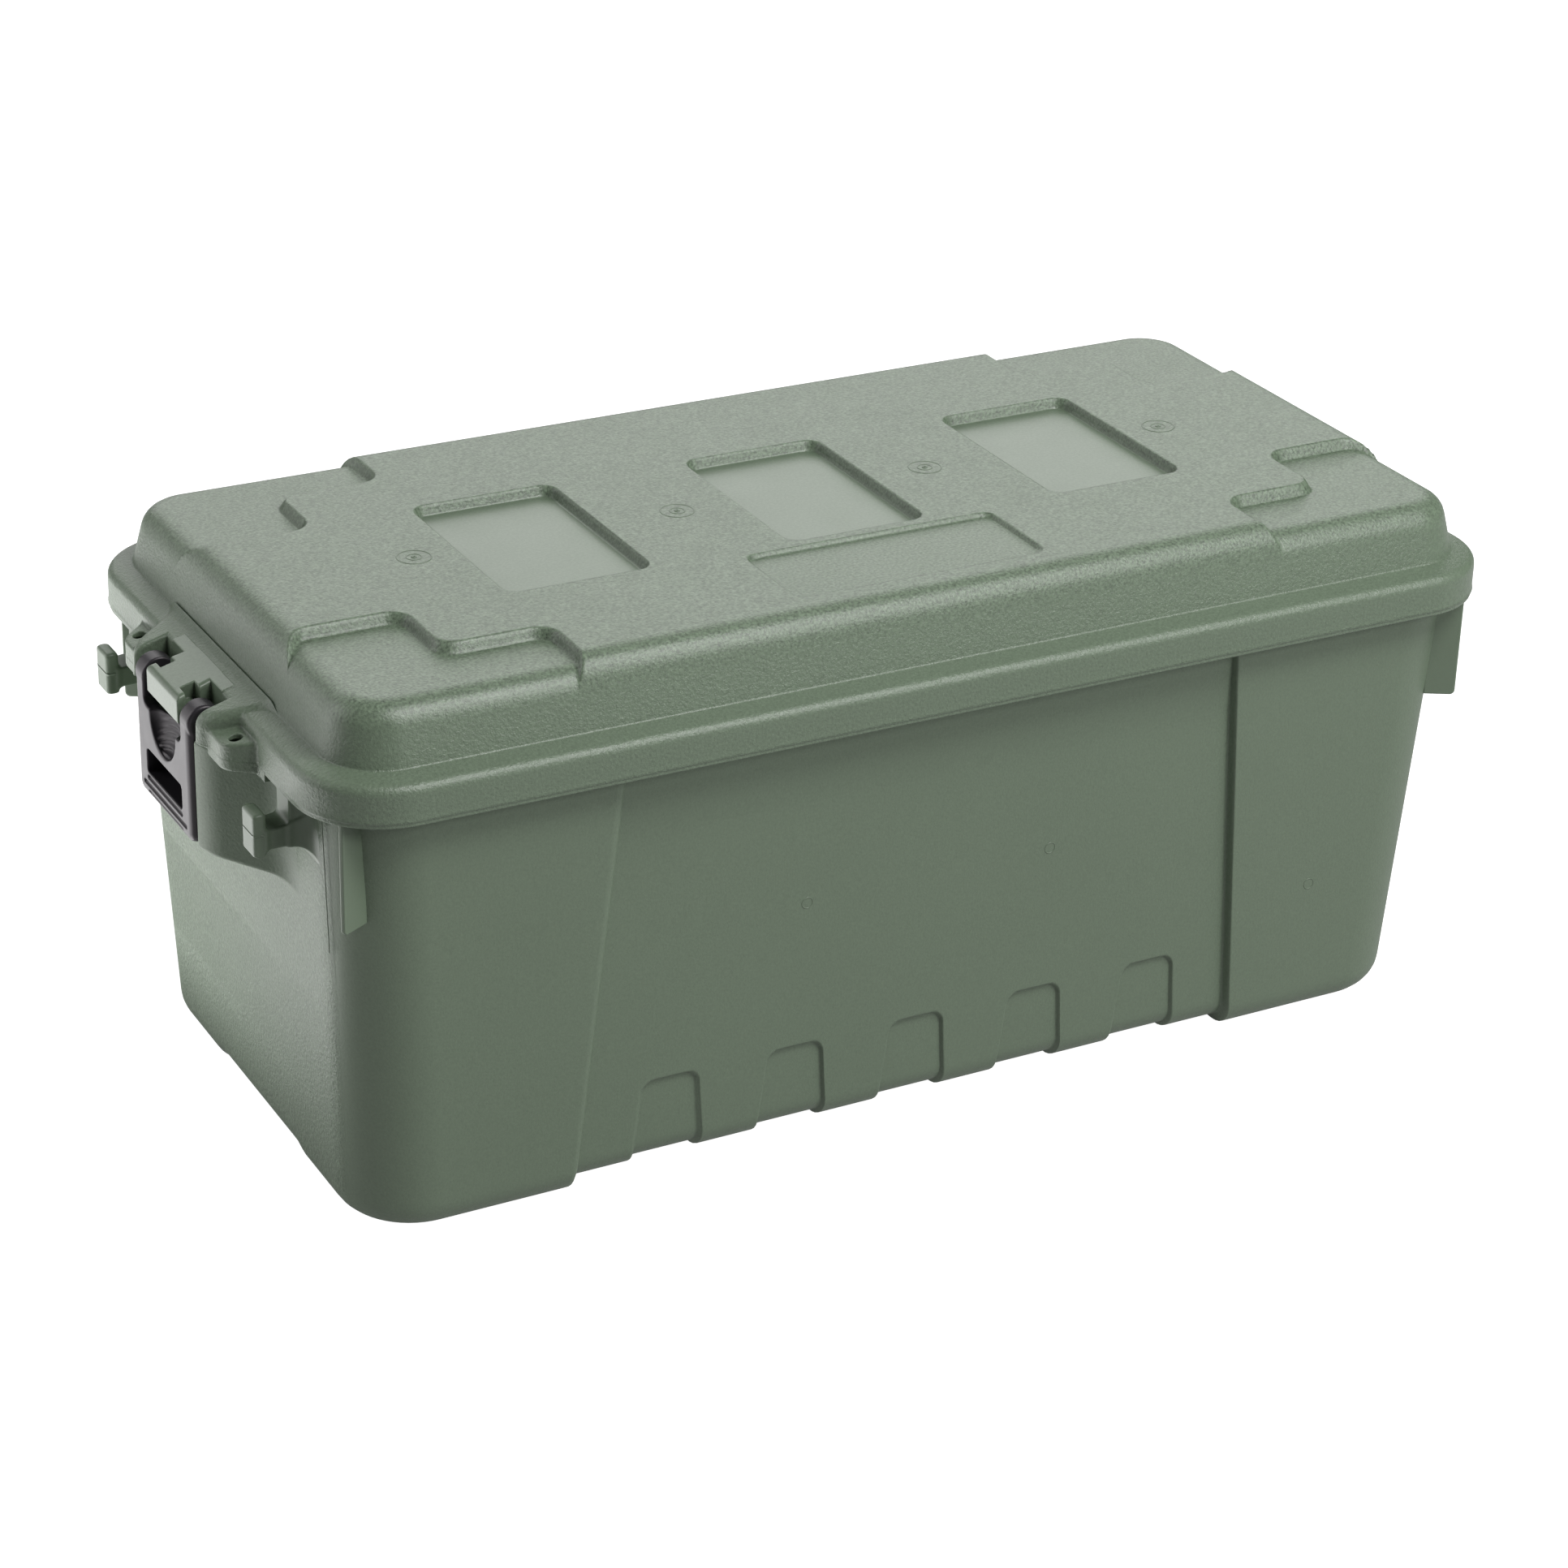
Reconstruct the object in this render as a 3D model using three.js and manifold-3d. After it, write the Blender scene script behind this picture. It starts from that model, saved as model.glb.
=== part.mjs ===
// A moulded plastic footlocker: a deep tub, a lift-off lid and a snap latch at each end.
// Millimetres. The origin is the middle of the base, +X runs along the length, +Z is up.
import * as THREE from "three";
import { mergeVertices } from "three/addons/utils/BufferGeometryUtils.js";
import Module from "manifold-3d";

const wasm = await Module();
wasm.setup();

// ---- driving dimensions ----
const HEIGHT = 324;        // overall height with the lid on
const PARTING = 262;       // where the lid's end hood meets the tub's end housing
const SKIRT_BOTTOM = 260;  // lower edge of the lid's skirt
const WALL = 3.5;          // moulded wall thickness
const GAP = 0.4;           // clearance between neighbouring pieces
const DRAFT = 12;          // how far each tub wall leans in from the skirt to the base
const MARGIN = 5;          // how far a cutting solid runs past the face it cuts
const BEYOND = 80;         // how far the cuts in the long sides reach out and down
const CORNER_STEPS = 6;    // straight pieces in one rounded corner, seen from above
const PROFILE_STEPS = 4;   // straight pieces in one rounded edge, seen from the side
const ROUND_SIDES = 28;    // sides of a pin, a hole or a hook

const tub = { halfLength: 351, halfWidth: 169.5, corner: 45, baseRound: 18, rimTop: 278.4 };
const panel = { depth: 5.5, halfAtTop: 193, halfAtBase: 214.5, top: 253, raise: 4 };
const notch = { pitch: 77.6, perSide: 5, top: 61, halfAtTop: 19, halfAtBase: 23, depth: 2.5, round: 6 };
const foot = { halfGap: 60, raise: 4 };
const lid = { halfLength: 364.9, halfWidth: 182.4, corner: 50, flangeGap: 0.8, rimInset: 8 };
const shoulder = { z: 278, round: 5, lean: 1.2 };
const platform = { inset: 24.2, baseInset: 14.4, baseZ: 286, edgeRound: 14 };
const lowered = { depth: 5, wingX: 273, wingY: 60, flankX: 211, flankY: 110, round: 12 };
const recess = { length: 88.6, width: 132.5, pitch: 170, round: 10, depth: 6.3 };
const badge = { halfLength: 77.2, middleY: -104.6, halfWidth: 31.1, round: 10, depth: 2 };
const housing = { front: 384, halfFront: 50, halfBack: 84, back: 349, root: 332, bottom: 194, round: 4 };
const hoodSlope = { outX: 385, outZ: 278.3, inX: 358.5, inZ: 286 };
const channel = { halfWidth: 41.5, back: 364 };
const armSlot = { outer: 45.3, back: 365 };
const lug = { front: 385, halfAtFront: 23.5, halfAtBack: 21, bottom: 263.4 };
const lugNotch = { front: 380, back: 372, inner: 14.5, bottom: 271.3 };
const ear = { front: 383, inner: 47, outer: 84, bottom: 257, top: 275, round: 2 };
const earHole = { x: 372, y: 73, radius: 3.8 };
const cleat = {
  inner: 102, outer: 119.5, round: 1,
  sideView: [
    [381, 226.5], [375, 226.5], [371.5, 231], [356, 231], [350, 226], [346, 214], [338, 214],
    [338, 259], [361, 259], [362, 246], [366, 241], [371.5, 242], [374.5, 251], [381, 251],
  ],
};
const fin = { rootX: 337, rootY: 153.5, tipX: 351, tipY: 161.5, thickness: 3, bottom: 196 };
const pin = { x: 375.8, z: 268.7, radius: 4.2 };
const latch = {
  front: 386, halfWidth: 40.3, bottom: 198.8, shoulder: 254, thickness: 7,
  armInner: 28, hookRadius: 10.2, boreRadius: 4.7, mouth: 7.6, mouthDrop: 3, round: 3,
};
const latchWindow = { halfWidth: 26.5, bottom: 214, top: 228.5, round: 2 };
const scoop = { halfWidth: 19, height: 20.5, depth: 5 };
const grooves = [{ z: 211.2, half: 25.3 }, { z: 206.5, half: 31.5 }, { z: 202.1, half: 25.3 }];
const grooveSize = { width: 2.2, depth: 1 };

const GREEN = { color: 0x75836f, roughness: 0.55, metalness: 0 };
const BLACK = { color: 0x1d1c20, roughness: 0.35, metalness: 0 };

// ---- shapes and solids ----
function solidFrom(geometry) {
  const bare = geometry.clone();
  bare.deleteAttribute("normal");
  bare.deleteAttribute("uv");
  const merged = mergeVertices(bare, 1e-4);
  const vertProperties = new Float32Array(merged.attributes.position.array);
  const triVerts = new Uint32Array(merged.index.array);
  return new wasm.Manifold(new wasm.Mesh({ numProp: 3, vertProperties, triVerts }));
}

function geometryFrom(solid) {
  const mesh = solid.getMesh();
  const geometry = new THREE.BufferGeometry();
  geometry.setAttribute("position", new THREE.BufferAttribute(mesh.vertProperties, 3));
  geometry.setIndex(new THREE.BufferAttribute(mesh.triVerts, 1));
  geometry.computeVertexNormals();
  return geometry;
}

function block(low, high) {
  const size = new THREE.Vector3().subVectors(high, low);
  const geometry = new THREE.BoxGeometry(size.x, size.y, size.z);
  geometry.translate(low.x + size.x / 2, low.y + size.y / 2, low.z + size.z / 2);
  return solidFrom(geometry);
}

function at(x, y, z) {
  return new THREE.Vector3(x, y, z);
}

// A closed outline through the points, each corner rounded by the same radius.
function roundedOutline(points, radius = 0) {
  const corners = points.map(([x, y]) => new THREE.Vector2(x, y));
  const shape = new THREE.Shape();
  corners.forEach((corner, i) => {
    const before = corners[(i + corners.length - 1) % corners.length];
    const after = corners[(i + 1) % corners.length];
    const enter = corner.clone().add(before.clone().sub(corner).setLength(radius));
    const leave = corner.clone().add(after.clone().sub(corner).setLength(radius));
    if (i === 0) shape.moveTo(enter.x, enter.y);
    else shape.lineTo(enter.x, enter.y);
    if (radius > 0) shape.quadraticCurveTo(corner.x, corner.y, leave.x, leave.y);
  });
  shape.closePath();
  return shape;
}

function rectangle(middleX, middleY, halfX, halfY, radius) {
  const left = middleX - halfX;
  const right = middleX + halfX;
  const low = middleY - halfY;
  const high = middleY + halfY;
  return roundedOutline([[left, low], [right, low], [right, high], [left, high]], radius);
}

function extrude(shape, depth) {
  return new THREE.ExtrudeGeometry(shape, { depth, bevelEnabled: false, curveSegments: 4 });
}

// The outline lies in X and Y and is swept up from one height to another.
function prismAlongZ(shape, bottom, top) {
  return solidFrom(extrude(shape, top - bottom).translate(0, 0, bottom));
}

// The outline lies in X and Z and is swept between two places along Y.
function prismAlongY(shape, from, to) {
  return solidFrom(extrude(shape, to - from).rotateX(Math.PI / 2).translate(0, to, 0));
}

// The outline lies in Y and Z and is swept between two places along X.
function prismAlongX(shape, from, to) {
  const turn = new THREE.Matrix4().makeBasis(at(0, 1, 0), at(0, 0, 1), at(1, 0, 0));
  return solidFrom(extrude(shape, to - from).applyMatrix4(turn).translate(from, 0, 0));
}

function cylinderAlongY(x, z, radius, from, to) {
  const geometry = new THREE.CylinderGeometry(radius, radius, to - from, ROUND_SIDES);
  return solidFrom(geometry.translate(x, (from + to) / 2, z));
}

function cylinderAlongZ(x, y, radius, from, to) {
  const geometry = new THREE.CylinderGeometry(radius, radius, to - from, ROUND_SIDES);
  return solidFrom(geometry.rotateX(Math.PI / 2).translate(x, y, (from + to) / 2));
}

// Points round one rounded rectangle, starting where its +X side meets its +X +Y corner.
function ringPoints({ halfX, halfY, radius, z }) {
  const points = [];
  for (let quarter = 0; quarter < 4; quarter++) {
    const signX = quarter === 0 || quarter === 3 ? 1 : -1;
    const signY = quarter < 2 ? 1 : -1;
    for (let step = 0; step <= CORNER_STEPS; step++) {
      const angle = (quarter + step / CORNER_STEPS) * Math.PI / 2;
      points.push([
        signX * (halfX - radius) + radius * Math.cos(angle),
        signY * (halfY - radius) + radius * Math.sin(angle),
        z,
      ]);
    }
  }
  return points;
}

// A closed body through a stack of rounded rectangles, listed from the bottom up.
function ringStack(levels) {
  const rings = levels.map(ringPoints);
  const count = rings[0].length;
  const index = [];
  for (let level = 0; level + 1 < rings.length; level++) {
    for (let i = 0; i < count; i++) {
      const here = level * count + i;
      const next = level * count + (i + 1) % count;
      index.push(here, next, next + count, here, next + count, here + count);
    }
  }
  const top = (rings.length - 1) * count;
  for (let i = 1; i + 1 < count; i++) {
    index.push(0, i + 1, i);
    index.push(top, top + i, top + i + 1);
  }
  const geometry = new THREE.BufferGeometry();
  geometry.setAttribute("position", new THREE.Float32BufferAttribute(rings.flat(2), 3));
  geometry.setIndex(index);
  return solidFrom(geometry);
}

function joinAll(solids) {
  return solids.reduce((whole, solid) => whole.add(solid));
}

function cutAll(solid, cutters) {
  return cutters.reduce((rest, cutter) => rest.subtract(cutter), solid);
}

function mirrored(solid, x, y) {
  return solid.scale([x, y, 1]);
}

function inFourCorners(solid) {
  return joinAll([[1, 1], [-1, 1], [-1, -1], [1, -1]].map(([x, y]) => mirrored(solid, x, y)));
}

function atBothEnds(solid) {
  return solid.add(mirrored(solid, -1, 1));
}

// ---- the tub ----
function tubLevel(z, inset) {
  const lean = DRAFT * Math.max(0, 1 - z / SKIRT_BOTTOM);
  return {
    z,
    halfX: tub.halfLength - lean - inset,
    halfY: tub.halfWidth - lean - inset,
    radius: Math.max(MARGIN, tub.corner - inset),
  };
}

// The tub's drafted body with a rounded bottom edge, shrunk by inset on every side.
function tubBody(inset, bottom, top) {
  const levels = [];
  for (let step = 0; step <= PROFILE_STEPS; step++) {
    const angle = step / PROFILE_STEPS * Math.PI / 2;
    const rise = tub.baseRound * (1 - Math.cos(angle));
    levels.push(tubLevel(bottom + rise, inset + tub.baseRound * (1 - Math.sin(angle))));
  }
  levels.push(tubLevel(SKIRT_BOTTOM, inset), tubLevel(top, inset));
  return ringStack(levels);
}

// Leans a prism cut for the +Y side so that it follows the drafted wall.
function followDraft(solid) {
  return solid.warp((point) => {
    point[1] -= DRAFT * (1 - point[2] / SKIRT_BOTTOM);
  });
}

function panelCut(grow) {
  const low = panel.raise - BEYOND;
  const outline = roundedOutline([
    [-panel.halfAtBase - grow, low],
    [panel.halfAtBase + grow, low],
    [panel.halfAtTop + grow, panel.top + grow],
    [-panel.halfAtTop - grow, panel.top + grow],
  ]);
  const face = tub.halfWidth - panel.depth - grow;
  return followDraft(prismAlongY(outline, face, face + BEYOND));
}

function notchCut(middleX, grow) {
  const low = -BEYOND;
  const outline = roundedOutline([
    [middleX - notch.halfAtBase - grow, low],
    [middleX + notch.halfAtBase + grow, low],
    [middleX + notch.halfAtTop + grow, notch.top + grow],
    [middleX - notch.halfAtTop - grow, notch.top + grow],
  ], notch.round);
  const face = tub.halfWidth - panel.depth - notch.depth - grow;
  return followDraft(prismAlongY(outline, face, face + BEYOND));
}

function sideCuts(grow) {
  const cuts = [panelCut(grow)];
  for (let i = 0; i < notch.perSide; i++) {
    cuts.push(notchCut((i - (notch.perSide - 1) / 2) * notch.pitch, grow));
  }
  return cuts.flatMap((cut) => [cut, mirrored(cut, 1, -1)]);
}

function underCuts() {
  const wide = tub.halfWidth + MARGIN;
  const long = tub.halfLength + MARGIN;
  return [
    block(at(-panel.halfAtBase, -wide, -MARGIN), at(panel.halfAtBase, wide, panel.raise)),
    block(at(-long, -foot.halfGap, -MARGIN), at(long, foot.halfGap, foot.raise)),
  ];
}

// The flange inside the lid's skirt, with an upright rim that the lid rests on.
function tubRim() {
  const rimInset = lid.rimInset;
  const flangeTop = SKIRT_BOTTOM + GAP + WALL;
  const flange = ringStack([
    lidLevel(SKIRT_BOTTOM + GAP, WALL + lid.flangeGap),
    lidLevel(flangeTop, WALL + lid.flangeGap),
  ]);
  const upright = ringStack([lidLevel(flangeTop - 1, rimInset), lidLevel(tub.rimTop, rimInset)]);
  const hollow = ringStack([lidLevel(flangeTop, rimInset + WALL), lidLevel(HEIGHT, rimInset + WALL)]);
  return flange.add(upright).subtract(hollow);
}

function housingOutline(grow) {
  return roundedOutline([
    [-housing.front - grow, -housing.halfFront - grow],
    [-housing.back, -housing.halfBack - grow],
    [-housing.root, -housing.halfBack - grow],
    [-housing.root, housing.halfBack + grow],
    [-housing.back, housing.halfBack + grow],
    [-housing.front - grow, housing.halfFront + grow],
  ], housing.round);
}

function channelCut() {
  return block(
    at(-housing.front - MARGIN * 2, -channel.halfWidth, housing.bottom - MARGIN),
    at(-channel.back, channel.halfWidth, HEIGHT),
  );
}

// The block on the end wall that guards the latch, with an open channel for it to drop into.
function endHousing() {
  return prismAlongZ(housingOutline(0), housing.bottom, PARTING).subtract(channelCut());
}

// A tie-down hook: a front plate, a saddle for the cord and a web back to the wall.
function endCleat() {
  const outline = roundedOutline(cleat.sideView.map(([x, z]) => [-x, z]), cleat.round);
  const one = prismAlongY(outline, cleat.inner, cleat.outer);
  return one.add(mirrored(one, 1, -1));
}

// A small upright plate under the skirt at the tub's corner.
function cornerFin() {
  const across = new THREE.Vector2(fin.tipY - fin.rootY, fin.rootX - fin.tipX).setLength(fin.thickness / 2);
  const outline = roundedOutline([
    [fin.rootX - across.x, fin.rootY - across.y],
    [fin.tipX - across.x, fin.tipY - across.y],
    [fin.tipX + across.x, fin.tipY + across.y],
    [fin.rootX + across.x, fin.rootY + across.y],
  ]);
  return prismAlongZ(outline, fin.bottom, SKIRT_BOTTOM - GAP);
}

function tubSolid() {
  const outside = joinAll([
    cutAll(tubBody(0, 0, SKIRT_BOTTOM + WALL), sideCuts(0)),
    atBothEnds(endHousing().add(endCleat())),
    inFourCorners(cornerFin()),
    tubRim(),
  ]);
  const floor = panel.raise + WALL;
  const inside = cutAll(tubBody(WALL, floor, HEIGHT), sideCuts(WALL));
  return cutAll(outside, [inside, ...underCuts()]);
}

// ---- the lid ----
function lidLevel(z, inset) {
  return {
    z,
    halfX: lid.halfLength - inset,
    halfY: lid.halfWidth - inset,
    radius: Math.max(MARGIN, lid.corner - inset),
  };
}

// Skirt, rounded shoulder, narrow ledge, steep slope and rounded platform edge.
function lidBody(shrink, bottom) {
  const slope = Math.atan2(HEIGHT - platform.baseZ, platform.inset - platform.baseInset);
  const reach = platform.edgeRound * Math.tan(slope / 2);
  const levels = [lidLevel(bottom, shrink)];
  for (let step = 0; step <= PROFILE_STEPS; step++) {
    const angle = step / PROFILE_STEPS * Math.PI / 2;
    const rise = shoulder.round * Math.sin(angle);
    const inset = shoulder.lean + shoulder.round * (1 - Math.cos(angle));
    levels.push(lidLevel(shoulder.z + rise - shrink, inset + shrink));
  }
  levels.push(lidLevel(platform.baseZ - shrink, platform.baseInset + shrink));
  for (let step = 0; step <= PROFILE_STEPS; step++) {
    const angle = slope * (1 - step / PROFILE_STEPS);
    const inset = platform.inset + reach - platform.edgeRound * Math.sin(angle);
    const drop = platform.edgeRound * (1 - Math.cos(angle));
    levels.push(lidLevel(HEIGHT - drop - shrink, inset + shrink));
  }
  return ringStack(levels);
}

// Each corner of the platform steps down along this outline, drawn for the +X +Y corner.
function steppedCorner(grow) {
  const out = lid.halfLength + MARGIN;
  const outline = roundedOutline([
    [lowered.wingX - grow, lowered.wingY - grow],
    [out, lowered.wingY - grow],
    [out, lid.halfWidth + MARGIN],
    [lowered.flankX - grow, lid.halfWidth + MARGIN],
    [lowered.flankX - grow, lowered.flankY - grow],
    [lowered.wingX - grow, lowered.flankY - grow],
  ], lowered.round);
  return prismAlongZ(outline, HEIGHT - lowered.depth - grow, HEIGHT + MARGIN);
}

function windowRecess(middleX, grow) {
  const halfLength = recess.length / 2 + grow;
  const outline = rectangle(middleX, 0, halfLength, recess.width / 2 + grow, recess.round);
  return prismAlongZ(outline, HEIGHT - recess.depth - grow, HEIGHT + MARGIN);
}

function badgeRecess(grow) {
  const halfLength = badge.halfLength + grow;
  const outline = rectangle(0, badge.middleY, halfLength, badge.halfWidth + grow, badge.round);
  return prismAlongZ(outline, HEIGHT - badge.depth - grow, HEIGHT + MARGIN);
}

function platformCuts(grow) {
  const windows = [-recess.pitch, 0, recess.pitch].map((x) => windowRecess(x, grow));
  return [inFourCorners(steppedCorner(grow)), ...windows, badgeRecess(grow)];
}

// Everything below the hood's sloping top, as wide as the whole end.
function underHoodTop() {
  const outline = roundedOutline([
    [-hoodSlope.inX + MARGIN * 4, SKIRT_BOTTOM - MARGIN * 2],
    [-hoodSlope.inX + MARGIN * 4, hoodSlope.inZ - WALL],
    [-hoodSlope.inX, hoodSlope.inZ],
    [-hoodSlope.outX, hoodSlope.outZ],
    [-hoodSlope.outX - MARGIN, hoodSlope.outZ - MARGIN],
    [-hoodSlope.outX - MARGIN, SKIRT_BOTTOM - MARGIN * 2],
  ]);
  return prismAlongY(outline, -lid.halfWidth, lid.halfWidth);
}

function armSlots() {
  return block(
    at(-housing.front - MARGIN * 2, -armSlot.outer, PARTING - MARGIN),
    at(-armSlot.back, armSlot.outer, HEIGHT),
  );
}

// The lug between the latch arms, with a notch each side over the stub pins.
function hoodLug() {
  const back = armSlot.back - MARGIN;
  const outline = roundedOutline([
    [-lug.front, -lug.halfAtFront],
    [-back, -lug.halfAtBack],
    [-back, lug.halfAtBack],
    [-lug.front, lug.halfAtFront],
  ]);
  const notchOut = lug.halfAtFront + MARGIN;
  const notches = [1, -1].map((side) => prismAlongZ(rectangle(
    -(lugNotch.front + lugNotch.back) / 2, side * (lugNotch.inner + notchOut) / 2,
    (lugNotch.front - lugNotch.back) / 2, (notchOut - lugNotch.inner) / 2, 0,
  ), lugNotch.bottom, HEIGHT));
  return cutAll(prismAlongZ(outline, lug.bottom, hoodSlope.inZ), notches);
}

// The hood over each latch, with the lug between its arms and the stub pins they turn on.
function endHood() {
  const hood = prismAlongZ(housingOutline(GAP), PARTING + GAP, hoodSlope.inZ).subtract(armSlots());
  const pins = cylinderAlongY(-pin.x, pin.z, pin.radius, -armSlot.outer - 1, armSlot.outer + 1);
  return hood.add(hoodLug()).intersect(underHoodTop()).add(pins);
}

function padlockEar() {
  const outline = rectangle(
    -(ear.front + lid.halfLength - WALL) / 2, (ear.inner + ear.outer) / 2,
    (ear.front - lid.halfLength + WALL) / 2, (ear.outer - ear.inner) / 2, ear.round,
  );
  const one = prismAlongZ(outline, ear.bottom, ear.top);
  return one.add(mirrored(one, 1, -1));
}

function earHoles() {
  const one = cylinderAlongZ(-earHole.x, earHole.y, earHole.radius, ear.bottom - MARGIN, HEIGHT);
  return one.add(mirrored(one, 1, -1));
}

function lidSolid() {
  const outside = joinAll([
    cutAll(lidBody(0, SKIRT_BOTTOM), platformCuts(0)),
    atBothEnds(endHood().add(padlockEar())),
  ]);
  const inside = cutAll(lidBody(WALL, SKIRT_BOTTOM - MARGIN), platformCuts(WALL));
  const housingRoom = prismAlongZ(housingOutline(GAP), housing.bottom, PARTING + GAP);
  return cutAll(outside, [inside, atBothEnds(housingRoom), atBothEnds(earHoles())]);
}

// ---- the latch, drawn at the left end ----
function latchArm() {
  const hook = cylinderAlongY(-pin.x, pin.z, latch.hookRadius, latch.armInner, latch.halfWidth);
  const stem = block(
    at(-latch.front, latch.armInner, latch.shoulder - MARGIN),
    at(-latch.front + latch.thickness, latch.halfWidth, pin.z),
  );
  const bore = cylinderAlongY(-pin.x, pin.z, latch.boreRadius, 0, latch.halfWidth + MARGIN);
  const mouthZ = pin.z - latch.mouthDrop;
  const mouth = block(
    at(-pin.x, 0, mouthZ - latch.mouth / 2),
    at(-pin.x + latch.hookRadius + MARGIN, latch.halfWidth + MARGIN, mouthZ + latch.mouth / 2),
  );
  const one = cutAll(hook.add(stem), [bore, mouth]);
  return one.add(mirrored(one, 1, -1));
}

function latchFace() {
  const faceMiddle = (latch.bottom + latch.shoulder) / 2;
  const halfFace = (latch.shoulder - latch.bottom) / 2;
  const outline = rectangle(0, faceMiddle, latch.halfWidth, halfFace, latch.round);
  const back = -latch.front + latch.thickness;
  const plate = prismAlongX(outline, -latch.front, back);
  const middleZ = (latchWindow.bottom + latchWindow.top) / 2;
  const halfHeight = (latchWindow.top - latchWindow.bottom) / 2;
  const opening = prismAlongX(
    rectangle(0, middleZ, latchWindow.halfWidth, halfHeight, latchWindow.round),
    -latch.front - MARGIN, back + MARGIN,
  );
  return plate.subtract(opening);
}

function thumbScoop() {
  const bowl = new THREE.SphereGeometry(1, 20, 12);
  bowl.scale(scoop.depth, scoop.halfWidth, scoop.height).translate(-latch.front, 0, latch.shoulder);
  return solidFrom(bowl);
}

function gripGrooves() {
  return joinAll(grooves.map(({ z, half }) => block(
    at(-latch.front - MARGIN, -half, z - grooveSize.width / 2),
    at(-latch.front + grooveSize.depth, half, z + grooveSize.width / 2),
  )));
}

function latchSolid() {
  return cutAll(latchFace(), [thumbScoop(), gripGrooves()]).add(latchArm());
}

// ---- the assembly ----
function piece(name, solid, finish) {
  const mesh = new THREE.Mesh(geometryFrom(solid), new THREE.MeshStandardMaterial(finish));
  mesh.name = name;
  return mesh;
}

const footlocker = new THREE.Group();
footlocker.add(piece("tub", tubSolid(), GREEN));
footlocker.add(piece("lid", lidSolid(), GREEN));

const latchLeft = piece("latch_left", latchSolid(), BLACK);
footlocker.add(latchLeft);

const latchRight = piece("latch_right", latchSolid(), BLACK);
latchRight.rotation.z = Math.PI;
footlocker.add(latchRight);

export default footlocker;
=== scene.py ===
"""Looks of a moulded footlocker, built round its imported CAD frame: tub, lid and two black latches.

Sizes below are in millimetres and each mesh is turned to metres when it is added. X runs along the
footlocker, its front faces -Y and it stands on Z = 0. Both ends are alike, so the end details are
shaped once, with `out` growing away from the middle, and mirrored to the other end.
"""

import math
from types import SimpleNamespace as Sizes

import bpy
import numpy as np
from mathutils import Matrix, Vector


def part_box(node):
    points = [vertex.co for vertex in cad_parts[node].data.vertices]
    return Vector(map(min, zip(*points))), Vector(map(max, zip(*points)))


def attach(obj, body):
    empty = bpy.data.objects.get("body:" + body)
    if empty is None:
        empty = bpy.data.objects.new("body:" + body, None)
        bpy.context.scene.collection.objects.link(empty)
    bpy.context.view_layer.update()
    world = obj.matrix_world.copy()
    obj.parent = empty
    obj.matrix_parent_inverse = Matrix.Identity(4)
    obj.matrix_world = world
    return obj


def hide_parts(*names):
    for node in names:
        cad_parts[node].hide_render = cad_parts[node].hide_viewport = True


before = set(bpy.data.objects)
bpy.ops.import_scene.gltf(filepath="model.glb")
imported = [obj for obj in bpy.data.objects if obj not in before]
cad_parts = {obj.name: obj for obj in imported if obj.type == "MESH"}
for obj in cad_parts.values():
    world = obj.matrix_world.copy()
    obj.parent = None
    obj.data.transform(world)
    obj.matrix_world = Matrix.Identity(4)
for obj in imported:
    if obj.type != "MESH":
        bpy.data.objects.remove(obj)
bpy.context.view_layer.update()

MILLIMETRES = 1000.0


def box_mm(node):
    low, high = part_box(node)
    return np.array(low) * MILLIMETRES, np.array(high) * MILLIMETRES


lid_low, lid_high = box_mm("lid")
_, tub_high = box_mm("tub")
latch_low, latch_high = box_mm("latch_right")

# ---------------------------------------------------------------- sizes, from the frame's boxes

TOP = lid_high[2]  # the lid's highest place
END = lid_high[0]  # the lid's furthest place along X
WALL = 3.5

skirt = Sizes(
    half_x=END - 20.1, half_y=lid_high[1], corner=50.0, bottom=TOP - 64.0, lip=TOP - 60.7
)
platform = Sizes(inset=24.2, base_inset=14.4, base_z=TOP - 38.0, edge_round=14.0)
ledge = Sizes(edge_z=TOP - 41.7, shoulder_round=5.5)
# The raised cross of the platform ends in wings along X and in flanks along Y, and both flare
# where they run down the platform's slope.
step = Sizes(
    height=6.0,
    wing_x=275.0,
    wing_y=65.0,
    wing_flare=33.0,
    flank_x=213.0,
    flank_y=115.0,
    flank_flare=11.0,
    flare_inset=38.0,
    flare_run=24.0,
    corner=10.0,
    melt=13.0,
    retreat=-1.5,
    wall=Sizes(steepness=2.2, top_round=2.2, foot_round=0.9),
)
window = Sizes(half_x=43.4, half_y=65.8, pitch=170.0, round=9.0, depth=5.8, wall=1.7)
badge = Sizes(
    half_x=77.9, half_y=31.1, middle_x=1.4, middle_y=-104.6, round=7.0, depth=2.4, wall=1.1
)
gate_mark = Sizes(near_x=79.7, far_x=239.0, sunk=0.35)
gate_rings = [
    Sizes(radius=9.5, thick=0.6, turns=36),
    Sizes(radius=4.2, thick=0.6, turns=36),
    Sizes(radius=1.1, thick=0.8, turns=16),
]

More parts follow.
